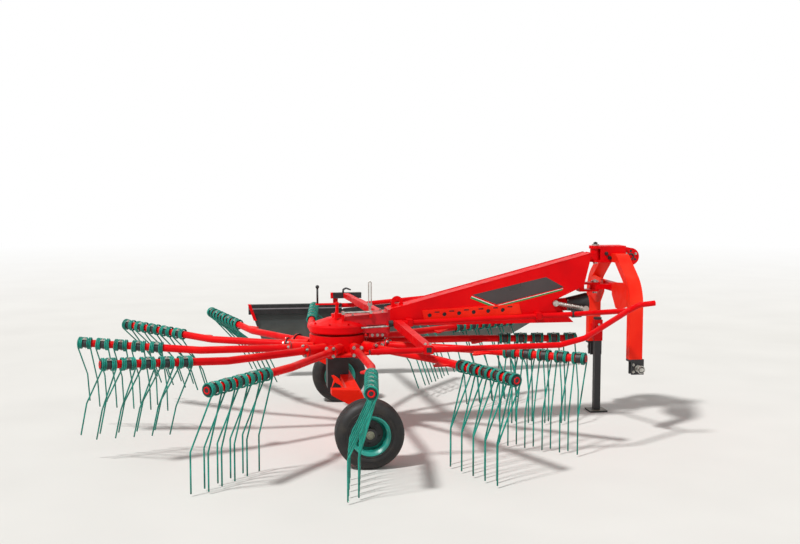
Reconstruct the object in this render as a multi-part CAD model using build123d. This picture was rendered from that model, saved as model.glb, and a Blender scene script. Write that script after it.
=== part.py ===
"""Single-rotor rotary rake for a three-point linkage.

Every piece is drawn about the rotor's upright axis, in millimetres: +X is the way of travel,
+Y the machine's left, +Z up, and the floor is z = 0. On export all pieces move together, so
that the origin lies under the middle of the whole machine.
"""
from build123d import *
from math import cos, radians, sin, sqrt, tan
import os

# Where the rotor's axis stands from the middle of the machine's outline on the floor
ROTOR_X = -208.5
ROTOR_Y = -125.5

# Wheels
TYRE_RADIUS = 203.0
TYRE_WIDTH = 165.0
RIM_RADIUS = 117.0
RIM_SEAT_RADIUS = 103.0
WHEEL_X = 100.0
TRACK_HALF = 950.0
STUB_AXLE_RADIUS = 20.0
WHEEL_HUB_HALF = 55.0
RUNNING_GAP = 0.1

# Rotor: hub, bearing sockets and arms, whose inner part stands off the axis and turns in its
# socket, and whose outer part is swept back
ARM_COUNT = 12
FIRST_ARM_DEG = -118.2
ARM_Z = 585.0
ARM_OFFSET = 92.0
ARM_RADIUS = 24.0
ARM_BORE_RADIUS = 20.0
ARM_BORE_DEPTH = 60.0
ARM_ROOT = 215.0
ARM_BEND_X = 900.0
ARM_BEND_RADIUS = 150.0
ARM_SWEEP_DEG = 9.0
SOCKET_ROOT = 170.0
SOCKET_RADIUS = 33.0
SOCKET_END = 320.0
FLANGE_RADIUS = 43.0
FLANGE_THICK = 10.0
HUB_DRUM_RADIUS = 185.0
HUB_PLATE_RADIUS = 290.0
HUB_PLATE_THICK = 12.0
HUB_TOP_Z = 658.0

# On an arm's outer part, measured from its bend
ARM_TIP = 780.0
LUG_START = 35.0
LUG_LENGTH = 130.0
LUG_HEEL = 30.0
LUG_REACH = 70.0
LUG_THICK = 10.0
LUG_HOLE_RADIUS = 5.0
LUG_TURN_DEG = 110.0

# Double tines: coils round the arm and two bent prongs each
COIL_RADIUS = 40.0
COIL_BORE_RADIUS = 30.0
COIL_SIDES = 8
COIL_WIDTH = 27.0
COIL_START = 250.0
COIL_PITCH = 57.0
DOUBLE_TINES = 5
WIRE = 9.5
PRONG_UPPER = 365.0
PRONG_TIP_Z = 14.0
PRONG_SLANTS_DEG = (16.0, 25.0)
SADDLE_WIDTH = 22.0

# How far the cam turns each arm back about its inner part: at 0 the tines hang down
CAM_LIFT = [
    # arm, lift in degrees
    (1, 0.0),
    (2, 0.0),
    (3, 0.0),
    (4, 0.0),
    (5, 0.0),
    (6, 8.0),
    (7, 20.0),
    (8, 28.0),
    (9, 28.0),
    (10, 28.0),
    (11, 27.0),
    (12, 24.0),
]

# Standing middle: column, spindle, cam housing and input gear housing
COLUMN_SIDE = 140.0
COLUMN_LOW = 298.0
SPINDLE_RADIUS = 32.0
CAM_RIM_RADIUS = 187.0
CAM_RIM_LOW = 672.0
CAM_RIM_HIGH = 728.0
CAM_CROWN_RADIUS = 62.0
CAM_CROWN_Z = 768.0
GEAR_LOW = 668.0
GEAR_TOP = 780.0
GEAR_SADDLE_REAR_X = 20.0
GEAR_SADDLE_LOW = 736.0
GEAR_TOP_RISE = 24.0
GEAR_HALF_WIDTH = 84.0
GEAR_FLANGE = 14.0

# Height crank, lock handle and lift eye
CRANK_Z = 857.0
CRANK_REACH = 130.0
CRANK_KNOB_TOP = 984.0
CRANK_KNOB_RADIUS = 12.0
CRANK_ROD_RADIUS = 6.0
HANDLE_X = 222.0
HANDLE_LOW = 857.0
HANDLE_TOP = 1002.0
HANDLE_HALF = 8.5
HANDLE_ROD_RADIUS = 4.0
LIFT_EYE_X = 405.0
LIFT_EYE_Z = 863.0
LIFT_EYE_RADIUS = 40.0
LIFT_EYE_BORE_RADIUS = 18.0
LIFT_EYE_THICK = 12.0

# Axle under the rotor
AXLE_BEAM_X = 50.0
AXLE_BEAM_Z = 355.0
AXLE_BEAM_SIDE = 75.0
AXLE_BEAM_HALF = 660.0
DROP_PLATE_THICK = 30.0
DROP_PLATE_BELOW = 45.0
AXLE_BRACKET_REACH = 110.0
AXLE_BRACKET_DEPTH = 80.0
AXLE_BRACKET_TIP = 32.0
AXLE_BRACKET_RISE = 14.0

# Boom: side outline in X and Z, open below
BOOM_HALF_WIDTH = 90.0
BOOM_TIP_X = 1735.0
BOOM_WALL = 8.0
BOOM_OUTLINE = [
    # x, z
    (345.0, 821.0),
    (744.0, 924.0),
    (BOOM_TIP_X, 1182.0),
    (1682.0, 960.0),
    (1465.0, 861.0),
    (1612.0, 713.0),
    (345.0, 713.0),
]
BOOM_REAR_X = 345.0
BOOM_BOTTOM_Z = 713.0
BOOM_NOSE_X = 1682.0

# Tine-arm racks on the boom's sides
RACK_REAR_X = 560.0
RACK_FRONT_X = 1225.0
RACK_REAR_LOW_Z = 742.0
RACK_REAR_HIGH_Z = 812.0
RACK_FRONT_LOW_Z = 778.0
RACK_FRONT_HIGH_Z = 846.0
RACK_SKEW = 18.0
RACK_THICK = 10.0
RACK_HOLES = 6
RACK_HOLE_RADIUS = 14.0
RACK_FIRST_HOLE_X = 612.0
RACK_HOLE_PITCH = 100.0
RACK_SLOT_LENGTH = 34.0
RACK_SLOT_WIDTH = 9.0
RACK_SLOT_RISE = 18.0

# Swivel between boom and headstock
SWIVEL_X = 1790.0
SWIVEL_EYE_RADIUS = 36.0
SWIVEL_PIN_RADIUS = 16.0
UPPER_EYE_LOW = 1133.0
UPPER_EYE_HEIGHT = 76.0
UPPER_EYE_HIGH = UPPER_EYE_LOW + UPPER_EYE_HEIGHT
EYE_NECK_DROP = 27.0
EYE_NECK_TOP = UPPER_EYE_HIGH - EYE_NECK_DROP
FORK_PLATE = 14.0
FORK_GAP = 1.0
TONGUE_LOW = 930.0
TONGUE_HIGH = 962.0

# Headstock: one arched frame, top box and crosshead
LEG_X = 1925.0
LEG_DEPTH = 90.0
LEG_WIDTH = 58.0
LEG_Y = 410.0
LEG_LOW_Z = 505.0
SHOULDER_Z = 960.0
SHOULDER_RADIUS = 210.0
ARCH_TOP_Y = 150.0
ARCH_TOP_Z = 1150.0
TOP_BOX_REAR_X = 1765.0
TOP_BOX_FRONT_X = 1985.0
TOP_BOX_FLOOR = 14.0
TOP_BOX_LID = 20.0
TOP_BOX_LOW = UPPER_EYE_LOW - FORK_GAP - TOP_BOX_FLOOR
TOP_BOX_HIGH = UPPER_EYE_HIGH + FORK_GAP + TOP_BOX_LID
TOP_BOX_HALF_WIDTH = 68.0
TOP_BOX_SIDE = 12.0
TOP_EAR_X = 2030.0
TOP_EAR_Z = 1154.0
TOP_EAR_RADIUS = 60.0
TOP_EAR_THICK = 14.0
TOP_LINK_HALF_GAP = 28.0
TOP_LINK_BORE_RADIUS = 13.0
TOP_LINK_SPARE_HOLES_DEG = (90.0, 210.0, 330.0)
TOP_LINK_SPARE_REACH = 38.0
TOP_LINK_SPARE_RADIUS = 9.0
CROSSHEAD_REAR_X = 1892.0
CROSSHEAD_FRONT_X = 1945.0
CROSSHEAD_LOW = 918.0
CROSSHEAD_HIGH = 974.0
GUSSET_THICK = 12.0
GUSSET_OUTLINE = [
    # y, z
    (90.0, 982.0),
    (280.0, 998.0),
    (381.0, 985.0),
    (381.0, 850.0),
    (240.0, 812.0),
    (165.0, 816.0),
    (90.0, 900.0),
]

# Lower hitch brackets and pins
BRACKET_LOW_Z = 404.0
BRACKET_THICK = 14.0
BRACKET_HALF_DEPTH = 42.0
HITCH_PIN_X = 1940.0
HITCH_PIN_Z = 447.0
HITCH_PIN_RADIUS = 14.0
HITCH_PIN_REACH = 68.0

# Parking stand inside the left leg
STAND_X = 1925.0
STAND_Y = 318.0
STAND_SLEEVE = 60.0
STAND_LEG = 46.0
STAND_SLEEVE_LOW = 520.0
STAND_SLEEVE_HIGH = 672.0
STAND_TIE_LOW = 20.0
STAND_TIE_HIGH = 120.0
STAND_FOOT = 130.0
STAND_FOOT_THICK = 12.0
STAND_TOP = 690.0

# Driveline that climbs through the boom, its bearing and the guard bowl over the stub
SHAFT_REAR = (302.0, 0.0, 745.0)
SHAFT_FRONT = (1720.0, 0.0, 836.0)
SHAFT_RADIUS = 22.0
STUB_RADIUS = 17.4
STUB_LENGTH = 90.0
BEARING_REAR_X = 1450.0
BEARING_FRONT_X = 1580.0
BEARING_RADIUS = 44.0
BOWL_RADIUS = 68.0
BOWL_LENGTH = 150.0
BOWL_WALL = 4.0

# Crosswise tube to the left and the curtain's arm that slides in it
BEAM_SIDE = 50.0
BEAM_WALL = 4.0
BEAM_ROOT = (366.0, 90.0, 735.0)
BEAM_END_Y = 1330.0
BEAM_FOOT_BEHIND = 18.0
BEAM_FOOT_AHEAD = 60.0
BEAM_FOOT_THICK = 12.0
BEAM_FOOT_HEIGHT = 90.0
BEAM_AT_CURTAIN = (246.0, 1900.0, 705.0)
CURTAIN_ARM_INSIDE = 560.0
SLIDE_GAP = 0.1

# Swath curtain
CURTAIN_Y = 1900.0
RAIL_COURSE = [
    # x, z of the rail's axis
    (-570.0, 616.0),
    (300.0, 620.0),
    (1925.0, 757.0),
]
RAIL_RADIUS = 19.0
RAIL_LAP_X = 190.0
CLAMP_SIDE = 46.0
CLAMP_DROP = 58.0
CLOTH_THICK = 6.0
CLOTH_LOW_Z = 285.0
CLOTH_FRONT_CUT_Z = 468.0
CLOTH_FRONT_LOW_X = 1590.0
SLEEVE_REAR_X = 120.0
SLEEVE_FRONT_X = 380.0
SLEEVE_HALF = 24.0

# Folding guard on the right
GUARD_TUBE_RADIUS = 17.0
GUARD_HINGE_REAR = (343.0, -135.0, 734.0)
GUARD_HINGE_FRONT = (1605.0, -135.0, 774.0)
GUARD_JOIN = (1750.0, -750.0, 870.0)
GUARD_COURSE = [
    # x, y, z of the outer tube's axis
    (104.0, -1000.0, 690.0),
    (1233.0, -1000.0, 706.0),
    (1387.0, -1000.0, 744.0),
    (1750.0, -750.0, 870.0),
    (1800.0, -800.0, 911.0),
    (1900.0, -800.0, 921.0),
]
GUARD_BAR_ROOT = (388.0, -152.0, 735.0)
GUARD_BAR_END = (440.0, -1030.0, 699.0)
HINGE_CLAMP_BEHIND = 90.0
HINGE_CLAMP_AHEAD = 125.0
HINGE_CLAMPS_X = (RACK_REAR_X - HINGE_CLAMP_BEHIND, RACK_FRONT_X + HINGE_CLAMP_AHEAD)
HINGE_CLAMP_LENGTH = 50.0
HINGE_CLAMP_HALF = 27.0

# Stabiliser springs on both sides of the boom's throat
SPRING_REAR = (1478.0, 106.0, 846.0)
SPRING_FRONT = (1690.0, 106.0, 806.0)
SPRING_RADIUS = 12.0
SPRING_BOSS_RADIUS = 20.0

os.makedirs("parts", exist_ok=True)
SHIFT = Location((ROTOR_X, ROTOR_Y, 0.0))
UPWARD = (Align.CENTER, Align.CENTER, Align.MIN)


def block(low, high):
    """A box between two opposite corners."""
    size = [high[i] - low[i] for i in range(3)]
    middle = [(high[i] + low[i]) / 2 for i in range(3)]
    return Pos(*middle) * Box(*size)


def rod(start, end, radius):
    """A round bar from one point to another."""
    run = Vector(*end) - Vector(*start)
    return Plane(origin=start, z_dir=run) * Cylinder(radius, run.length, align=UPWARD)


def post(x, y, low, high, radius):
    """An upright round bar."""
    return Pos(x, y, low) * Cylinder(radius, high - low, align=UPWARD)


def square_bar(start, end, side, bore=0.0):
    """A square bar or tube whose top face stays level across its run."""
    run = Vector(*end) - Vector(*start)
    level = Vector(-run.Y, run.X, 0.0)
    section = Plane(origin=start, x_dir=level, z_dir=run)
    face = Rectangle(side, side)
    if bore:
        face -= Rectangle(bore, bore)
    return extrude(section * face, amount=run.length)


def bent_tube(points, bend_radius, radius):
    """A round tube, drawn solid, along straight runs joined by arcs."""
    path = FilletPolyline(*points, radius=bend_radius)
    start = Plane(origin=path @ 0, z_dir=path % 0)
    return sweep(start * Circle(radius), path=path)


def side_plate(outline, near_y, far_y):
    """A plate of an outline in X and Z between two places across the machine."""
    face = Pos(0, far_y, 0) * (Plane.XZ * outline)
    return extrude(face, amount=far_y - near_y)


def polygon(points):
    """A closed outline with its corners where they are given."""
    return make_face(Polyline(*points, close=True))


def mirrored(shape):
    """The same piece on the machine's other side."""
    return mirror(shape, about=Plane.XZ)


def save(node, *solids):
    """Write one node's solids in the machine's own frame."""
    moved = [solid.moved(SHIFT) for solid in solids]
    shape = moved[0] if len(moved) == 1 else Compound(children=moved)
    export_step(shape, "parts/" + node + ".step")


def tyre():
    """A wide ribbed implement tyre about the Y axis, middle at the origin."""
    half = TYRE_WIDTH / 2
    bead = half - 22.0
    outline = [
        (RIM_SEAT_RADIUS, -bead),
        (RIM_RADIUS + 45.0, -half),
        (TYRE_RADIUS, -half + 36.0),
        (TYRE_RADIUS, half - 36.0),
        (RIM_RADIUS + 45.0, half),
        (RIM_SEAT_RADIUS, bead),
    ]
    return revolve(polygon(outline), axis=Axis.Y)


def rim():
    """Barrel with flanges, dished disc and a bored hub, as one revolved body."""
    bead = TYRE_WIDTH / 2 - 22.0
    seat = RIM_SEAT_RADIUS - 0.2
    lip = bead + 3.0
    barrel = [
        (seat, -bead),
        (seat, bead),
        (RIM_RADIUS, lip + 15.0),
        (RIM_RADIUS - 6.0, lip + 15.0),
        (seat - 6.0, lip),
        (seat - 6.0, -lip),
        (RIM_RADIUS - 6.0, -lip - 15.0),
        (RIM_RADIUS, -lip - 15.0),
    ]
    disc = [(37.0, 10.0), (seat - 5.0, -8.0), (seat - 5.0, -14.0), (37.0, 3.0)]
    bore = STUB_AXLE_RADIUS + RUNNING_GAP
    hub = [
        (bore, -WHEEL_HUB_HALF),
        (38.0, -WHEEL_HUB_HALF),
        (38.0, WHEEL_HUB_HALF),
        (bore, WHEEL_HUB_HALF),
    ]
    return revolve(polygon(barrel) + polygon(disc) + polygon(hub), axis=Axis.Y)


def arm_place(number, lift):
    """Where an arm lies: turned about the rotor, then about its own axis by the cam."""
    turn = FIRST_ARM_DEG + (number - 1) * 360.0 / ARM_COUNT
    return Location((0, 0, ARM_Z), (0, 0, turn)) * Location((0, ARM_OFFSET, 0), (-lift, 0, 0))


def outer_part():
    """Where an arm's swept outer part lies on the arm, with its start at the bend."""
    return Location((ARM_BEND_X, 0, 0), (0, 0, -ARM_SWEEP_DEG))


def tine_arm():
    """One cranked arm, its inner part along X, with flange, bored end and the lug that locks it."""
    tip = outer_part() * Pos(ARM_TIP, 0, 0)
    course = [(ARM_ROOT, 0, 0), (ARM_BEND_X, 0, 0), tuple(tip.position)]
    tube = bent_tube(course, ARM_BEND_RADIUS, ARM_RADIUS)
    tube -= outer_part() * rod(
        (ARM_TIP - ARM_BORE_DEPTH, 0, 0), (ARM_TIP + 1.0, 0, 0), ARM_BORE_RADIUS
    )
    flange = rod((SOCKET_END, 0, 0), (SOCKET_END + FLANGE_THICK, 0, 0), FLANGE_RADIUS)
    wedge = [
        (LUG_START, 0),
        (LUG_START + LUG_HEEL / 3, LUG_REACH),
        (LUG_START + LUG_HEEL, LUG_REACH),
        (LUG_START + LUG_LENGTH, ARM_RADIUS),
        (LUG_START + LUG_LENGTH, 0),
    ]
    lug = side_plate(polygon(wedge), -LUG_THICK / 2, LUG_THICK / 2)
    hole_x = LUG_START + LUG_HEEL
    hole_z = (ARM_RADIUS + LUG_REACH) / 2
    lug -= rod((hole_x, -LUG_THICK, hole_z), (hole_x, LUG_THICK, hole_z), LUG_HOLE_RADIUS)
    return tube + flange + outer_part() * Rot(LUG_TURN_DEG, 0, 0) * lug


def prong(slant):
    """One bent prong: from the coil's leading side, slanted back, then upright."""
    lean = radians(slant)
    half = WIRE / 2
    reach = COIL_RADIUS - half
    knee_y = reach * cos(lean) - sin(lean) * PRONG_UPPER
    knee_z = -reach * sin(lean) - cos(lean) * PRONG_UPPER
    tip_z = PRONG_TIP_Z - ARM_Z
    bend = half * tan(lean / 2)
    outline = [
        (COIL_RADIUS * cos(lean), -COIL_RADIUS * sin(lean)),
        (knee_y + half, knee_z - bend),
        (knee_y + half, tip_z),
        (knee_y - half, tip_z),
        (knee_y - half, knee_z + bend),
        ((reach - half) * cos(lean), -(reach - half) * sin(lean)),
    ]
    return extrude(Plane.YZ * polygon(outline), amount=half, both=True)


def coil():
    """One coil as a faceted ring round the arm."""
    ring = RegularPolygon(COIL_RADIUS, COIL_SIDES) - RegularPolygon(COIL_BORE_RADIUS, COIL_SIDES)
    return extrude(Plane.YZ * ring, amount=COIL_WIDTH / 2, both=True)


def double_tine(station):
    """Two coils, their prongs and the clamp between them that seats on the arm's top."""
    other = station + COIL_PITCH
    body = Pos(station, 0, 0) * (coil() + prong(PRONG_SLANTS_DEG[0]))
    body += Pos(other, 0, 0) * (coil() + prong(PRONG_SLANTS_DEG[1]))
    body += block(
        (station, -SADDLE_WIDTH / 2, ARM_RADIUS),
        (other, SADDLE_WIDTH / 2, COIL_RADIUS - WIRE / 2),
    )
    return body


def rotor_hub():
    """Drum, bottom plate and a ring of bearing sockets, bored for the spindle."""
    plate_top = ARM_Z - SOCKET_RADIUS + 2.0
    plate_low = plate_top - HUB_PLATE_THICK
    hub = post(0, 0, plate_top, HUB_TOP_Z, HUB_DRUM_RADIUS)
    hub += post(0, 0, plate_low, plate_top, HUB_PLATE_RADIUS)
    for number, _ in CAM_LIFT:
        place = arm_place(number, 0.0)
        hub += place * rod((SOCKET_ROOT, 0, 0), (SOCKET_END, 0, 0), SOCKET_RADIUS)
    for number, _ in CAM_LIFT:
        place = arm_place(number, 0.0)
        hub -= place * rod((ARM_ROOT, 0, 0), (SOCKET_END + 1.0, 0, 0), ARM_RADIUS)
    return hub - post(0, 0, plate_low - 1.0, HUB_TOP_Z + 1.0, SPINDLE_RADIUS + RUNNING_GAP)


def cam_housing():
    """The standing pan over the rotor: rim, cone, crown and the crank's bracket."""
    outline = [
        (0, CAM_RIM_LOW),
        (CAM_RIM_RADIUS - 8.0, CAM_RIM_LOW),
        (CAM_RIM_RADIUS, CAM_RIM_LOW + 8.0),
        (CAM_RIM_RADIUS, CAM_RIM_HIGH - 10.0),
        (CAM_RIM_RADIUS - 10.0, CAM_RIM_HIGH),
        (CAM_CROWN_RADIUS, CAM_CROWN_Z),
        (0, CAM_CROWN_Z),
    ]
    pan = revolve(Plane.XZ * polygon(outline), axis=Axis.Z)
    return pan + post(0, 0, CAM_CROWN_Z - 1.0, CAM_CROWN_Z + 24.0, 38.0)


def shaft_place(x, forward=0.0):
    """A point on the drive shaft's axis, where it passes x, moved forward along the axis."""
    run = Vector(*SHAFT_FRONT) - Vector(*SHAFT_REAR)
    start = Vector(*SHAFT_REAR) + run * ((x - SHAFT_REAR[0]) / run.X)
    return tuple(start + run.normalized() * forward)


def gear_housing():
    """The input gear housing between the cam housing and the boom."""
    rear_x = sqrt(CAM_RIM_RADIUS**2 - GEAR_HALF_WIDTH**2) - 20.0
    flange_x = BOOM_REAR_X - GEAR_FLANGE
    outline = [
        (rear_x, GEAR_LOW),
        (rear_x, GEAR_SADDLE_LOW),
        (GEAR_SADDLE_REAR_X, GEAR_SADDLE_LOW),
        (GEAR_SADDLE_REAR_X + 30.0, GEAR_TOP),
        (flange_x + 1.0, GEAR_TOP + GEAR_TOP_RISE),
        (flange_x + 1.0, GEAR_LOW),
    ]
    housing = side_plate(polygon(outline), -GEAR_HALF_WIDTH, GEAR_HALF_WIDTH)
    housing -= cam_housing()
    flange = block(
        (flange_x, -BOOM_HALF_WIDTH, GEAR_LOW),
        (BOOM_REAR_X, BOOM_HALF_WIDTH, BOOM_OUTLINE[0][1]),
    )
    bore_start = shaft_place(SHAFT_REAR[0], -2.0)
    return housing + flange - rod(
        bore_start, shaft_place(BOOM_REAR_X, 4.0), SHAFT_RADIUS + RUNNING_GAP
    )


def centre_column():
    """The square column under the rotor with the spindle that the rotor turns on."""
    hub_low = ARM_Z - SOCKET_RADIUS + 2.0 - HUB_PLATE_THICK
    half = COLUMN_SIDE / 2
    column = block((-half, -half, COLUMN_LOW), (half, half, hub_low - 8.0))
    column += post(0, 0, hub_low - 9.0, CAM_RIM_LOW, SPINDLE_RADIUS)
    return column - axle_beam()


def height_crank():
    """Upright spindle, crank arm and the grip at its end."""
    crank = post(0, 0, CAM_CROWN_Z + 24.0, CRANK_Z + 12.0, 11.0)
    crank += block((-CRANK_REACH - 12.0, -12.0, CRANK_Z - 5.0), (14.0, 12.0, CRANK_Z + 5.0))
    knob_z = CRANK_KNOB_TOP - CRANK_KNOB_RADIUS
    crank += post(-CRANK_REACH, 0, CRANK_Z, knob_z, CRANK_ROD_RADIUS)
    return crank + Pos(-CRANK_REACH, 0, knob_z) * Sphere(CRANK_KNOB_RADIUS)


def lock_handle():
    """Upright rod with the loop that the driver's cord pulls."""
    loop = [
        (HANDLE_X - HANDLE_HALF, 0, HANDLE_LOW - 8.0),
        (HANDLE_X - HANDLE_HALF, 0, HANDLE_TOP),
        (HANDLE_X + HANDLE_HALF, 0, HANDLE_TOP),
        (HANDLE_X + HANDLE_HALF, 0, HANDLE_LOW - 8.0),
    ]
    handle = bent_tube(loop, HANDLE_HALF - 1.0, HANDLE_ROD_RADIUS)
    handle += block(
        (HANDLE_X - HANDLE_HALF - 6.0, -8.0, HANDLE_LOW - 16.0),
        (HANDLE_X + HANDLE_HALF + 6.0, 8.0, HANDLE_LOW),
    )
    handle += post(HANDLE_X, 0, GEAR_TOP, HANDLE_LOW - 8.0, 9.0)
    return handle - gear_housing()


def lift_eye():
    """Flat eye plate that stands on the boom's rear top."""
    rear, crest = BOOM_OUTLINE[0], BOOM_OUTLINE[1]
    rise = (crest[1] - rear[1]) / (crest[0] - rear[0])
    left = LIFT_EYE_X - LIFT_EYE_RADIUS
    right = LIFT_EYE_X + LIFT_EYE_RADIUS
    left_z = rear[1] + (left - rear[0]) * rise
    right_z = rear[1] + (right - rear[0]) * rise
    plate = polygon([(left, left_z), (right, right_z), (right, LIFT_EYE_Z), (left, LIFT_EYE_Z)])
    plate += Pos(LIFT_EYE_X, LIFT_EYE_Z) * Circle(LIFT_EYE_RADIUS)
    plate -= Pos(LIFT_EYE_X, LIFT_EYE_Z) * Circle(LIFT_EYE_BORE_RADIUS)
    eye = side_plate(plate, -LIFT_EYE_THICK / 2, LIFT_EYE_THICK / 2)
    return eye - side_plate(polygon(BOOM_OUTLINE), -LIFT_EYE_THICK, LIFT_EYE_THICK)


def axle_beam():
    """Crosswise square beam under the column."""
    half = AXLE_BEAM_SIDE / 2
    return block(
        (AXLE_BEAM_X - half, -AXLE_BEAM_HALF, AXLE_BEAM_Z - half),
        (AXLE_BEAM_X + half, AXLE_BEAM_HALF, AXLE_BEAM_Z + half),
    )


def stub_axle():
    """Left drop plate on the beam's end with the stub that the wheel turns on."""
    half = AXLE_BEAM_SIDE / 2
    inner = AXLE_BEAM_HALF
    outer = inner + DROP_PLATE_THICK
    outline = polygon(
        [
            (AXLE_BEAM_X - half, AXLE_BEAM_Z + half),
            (AXLE_BEAM_X - half, TYRE_RADIUS + 40.0),
            (WHEEL_X - 40.0, TYRE_RADIUS - DROP_PLATE_BELOW),
            (WHEEL_X + 40.0, TYRE_RADIUS - DROP_PLATE_BELOW),
            (WHEEL_X + 40.0, TYRE_RADIUS + 60.0),
            (AXLE_BEAM_X + half, AXLE_BEAM_Z + half),
        ]
    )
    piece = side_plate(outline, inner, outer)
    top = AXLE_BEAM_Z + half + AXLE_BRACKET_RISE
    bracket = polygon(
        [
            (AXLE_BEAM_X + half - 20.0, top),
            (AXLE_BEAM_X - half - AXLE_BRACKET_REACH, top + 6.0),
            (AXLE_BEAM_X - half - AXLE_BRACKET_REACH, top + 6.0 - AXLE_BRACKET_TIP),
            (AXLE_BEAM_X - half, AXLE_BEAM_Z - half),
            (AXLE_BEAM_X + half - 20.0, AXLE_BEAM_Z - half),
        ]
    )
    piece += side_plate(bracket, outer - AXLE_BRACKET_DEPTH, outer) - axle_beam()
    hub_inner = TRACK_HALF - WHEEL_HUB_HALF
    piece += rod((WHEEL_X, outer - 1.0, TYRE_RADIUS), (WHEEL_X, hub_inner - 1.0, TYRE_RADIUS), 30.0)
    end = TRACK_HALF + WHEEL_HUB_HALF + 4.0
    return piece + rod(
        (WHEEL_X, outer - 1.0, TYRE_RADIUS), (WHEEL_X, end, TYRE_RADIUS), STUB_AXLE_RADIUS
    )


def boom():
    """Deep tapered box of plate, open below, with its swivel eye, fork and bearing boss."""
    outline = polygon(BOOM_OUTLINE)
    inner = offset(outline, amount=-BOOM_WALL, kind=Kind.INTERSECTION)
    clear_width = BOOM_HALF_WIDTH - BOOM_WALL
    shell = side_plate(outline, -BOOM_HALF_WIDTH, BOOM_HALF_WIDTH)
    shell -= side_plate(inner, -clear_width, clear_width)
    shell -= block(
        (BOOM_REAR_X + BOOM_WALL, -clear_width, BOOM_BOTTOM_Z - 1.0),
        (BEARING_REAR_X - 20.0, clear_width, BOOM_BOTTOM_Z + BOOM_WALL + 1.0),
    )
    boss = rod(shaft_place(BEARING_REAR_X), shaft_place(BEARING_FRONT_X), BEARING_RADIUS)
    body = shell + boss + upper_eye() + lower_fork()
    body -= rod(
        shaft_place(BOOM_REAR_X, -3.0), shaft_place(BEARING_REAR_X, -1.0), SHAFT_RADIUS + 8.0
    )
    return body - rod(
        shaft_place(BEARING_REAR_X, -2.0),
        shaft_place(BEARING_FRONT_X, 1.0),
        SHAFT_RADIUS + RUNNING_GAP,
    )


def upper_eye():
    """Boss at the boom's tip that the headstock's top box holds by a pin."""
    eye = post(SWIVEL_X, 0, UPPER_EYE_LOW, UPPER_EYE_HIGH, SWIVEL_EYE_RADIUS)
    neck = [
        (BOOM_TIP_X - 13.0, UPPER_EYE_LOW + 1.0),
        (SWIVEL_X, UPPER_EYE_LOW + 1.0),
        (SWIVEL_X, EYE_NECK_TOP),
        (BOOM_TIP_X - 3.0, EYE_NECK_TOP - 4.0),
    ]
    eye += side_plate(polygon(neck), -SWIVEL_EYE_RADIUS, SWIVEL_EYE_RADIUS)
    bore = SWIVEL_PIN_RADIUS + RUNNING_GAP
    return eye - post(SWIVEL_X, 0, UPPER_EYE_LOW - 1.0, UPPER_EYE_HIGH + 1.0, bore)


def lower_fork():
    """Two ears at the boom's nose that hold the crosshead's tongue."""
    low = TONGUE_LOW - FORK_GAP - FORK_PLATE
    high = TONGUE_HIGH + FORK_GAP + FORK_PLATE
    fork = block(
        (BOOM_NOSE_X - 14.0, -SWIVEL_EYE_RADIUS, low),
        (BOOM_NOSE_X + 20.0, SWIVEL_EYE_RADIUS, high + 50.0),
    )
    for start in (low, high - FORK_PLATE):
        fork += post(SWIVEL_X, 0, start, start + FORK_PLATE, SWIVEL_EYE_RADIUS)
        fork += block(
            (BOOM_NOSE_X, -SWIVEL_EYE_RADIUS, start),
            (SWIVEL_X, SWIVEL_EYE_RADIUS, start + FORK_PLATE),
        )
    return fork - post(SWIVEL_X, 0, low - 1.0, high + 1.0, SWIVEL_PIN_RADIUS + RUNNING_GAP)


def arm_rack():
    """Left rack plate with a row of holes and slots for tine arms taken off."""
    outline = polygon(
        [
            (RACK_REAR_X, RACK_REAR_HIGH_Z),
            (RACK_FRONT_X, RACK_FRONT_HIGH_Z),
            (RACK_FRONT_X + RACK_SKEW, RACK_FRONT_LOW_Z),
            (RACK_REAR_X + RACK_SKEW, RACK_REAR_LOW_Z),
        ]
    )
    rise = (RACK_FRONT_LOW_Z - RACK_REAR_LOW_Z) / (RACK_FRONT_X - RACK_REAR_X)
    middle_z = (RACK_REAR_HIGH_Z + RACK_REAR_LOW_Z) / 2
    for index in range(RACK_HOLES):
        x = RACK_FIRST_HOLE_X + index * RACK_HOLE_PITCH
        outline -= Pos(x, middle_z + (x - RACK_REAR_X) * rise) * Circle(RACK_HOLE_RADIUS)
        slot_x = x + RACK_HOLE_PITCH / 2
        slot_z = middle_z + RACK_SLOT_RISE + (slot_x - RACK_REAR_X) * rise
        outline -= Pos(slot_x, slot_z) * Rectangle(RACK_SLOT_LENGTH, RACK_SLOT_WIDTH)
    return side_plate(outline, BOOM_HALF_WIDTH, BOOM_HALF_WIDTH + RACK_THICK)


def headstock_frame():
    """Arched square frame: both legs, shoulders and the top run, in one bent tube."""
    course = [
        (LEG_X, LEG_Y, LEG_LOW_Z),
        (LEG_X, LEG_Y, SHOULDER_Z),
        (LEG_X, ARCH_TOP_Y, ARCH_TOP_Z),
    ]
    path = FilletPolyline(*course, radius=SHOULDER_RADIUS)
    section = Plane(origin=course[0], x_dir=(1, 0, 0), z_dir=(0, 0, 1))
    half = sweep(section * Rectangle(LEG_DEPTH, LEG_WIDTH), path=path)
    half_depth = LEG_DEPTH / 2
    half_width = LEG_WIDTH / 2
    half += rod(
        (LEG_X - half_depth, ARCH_TOP_Y, ARCH_TOP_Z),
        (LEG_X + half_depth, ARCH_TOP_Y, ARCH_TOP_Z),
        half_width,
    )
    top = block(
        (LEG_X - half_depth, -ARCH_TOP_Y, ARCH_TOP_Z - half_width),
        (LEG_X + half_depth, ARCH_TOP_Y, ARCH_TOP_Z + half_width),
    )
    return half + mirrored(half) + top


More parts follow.
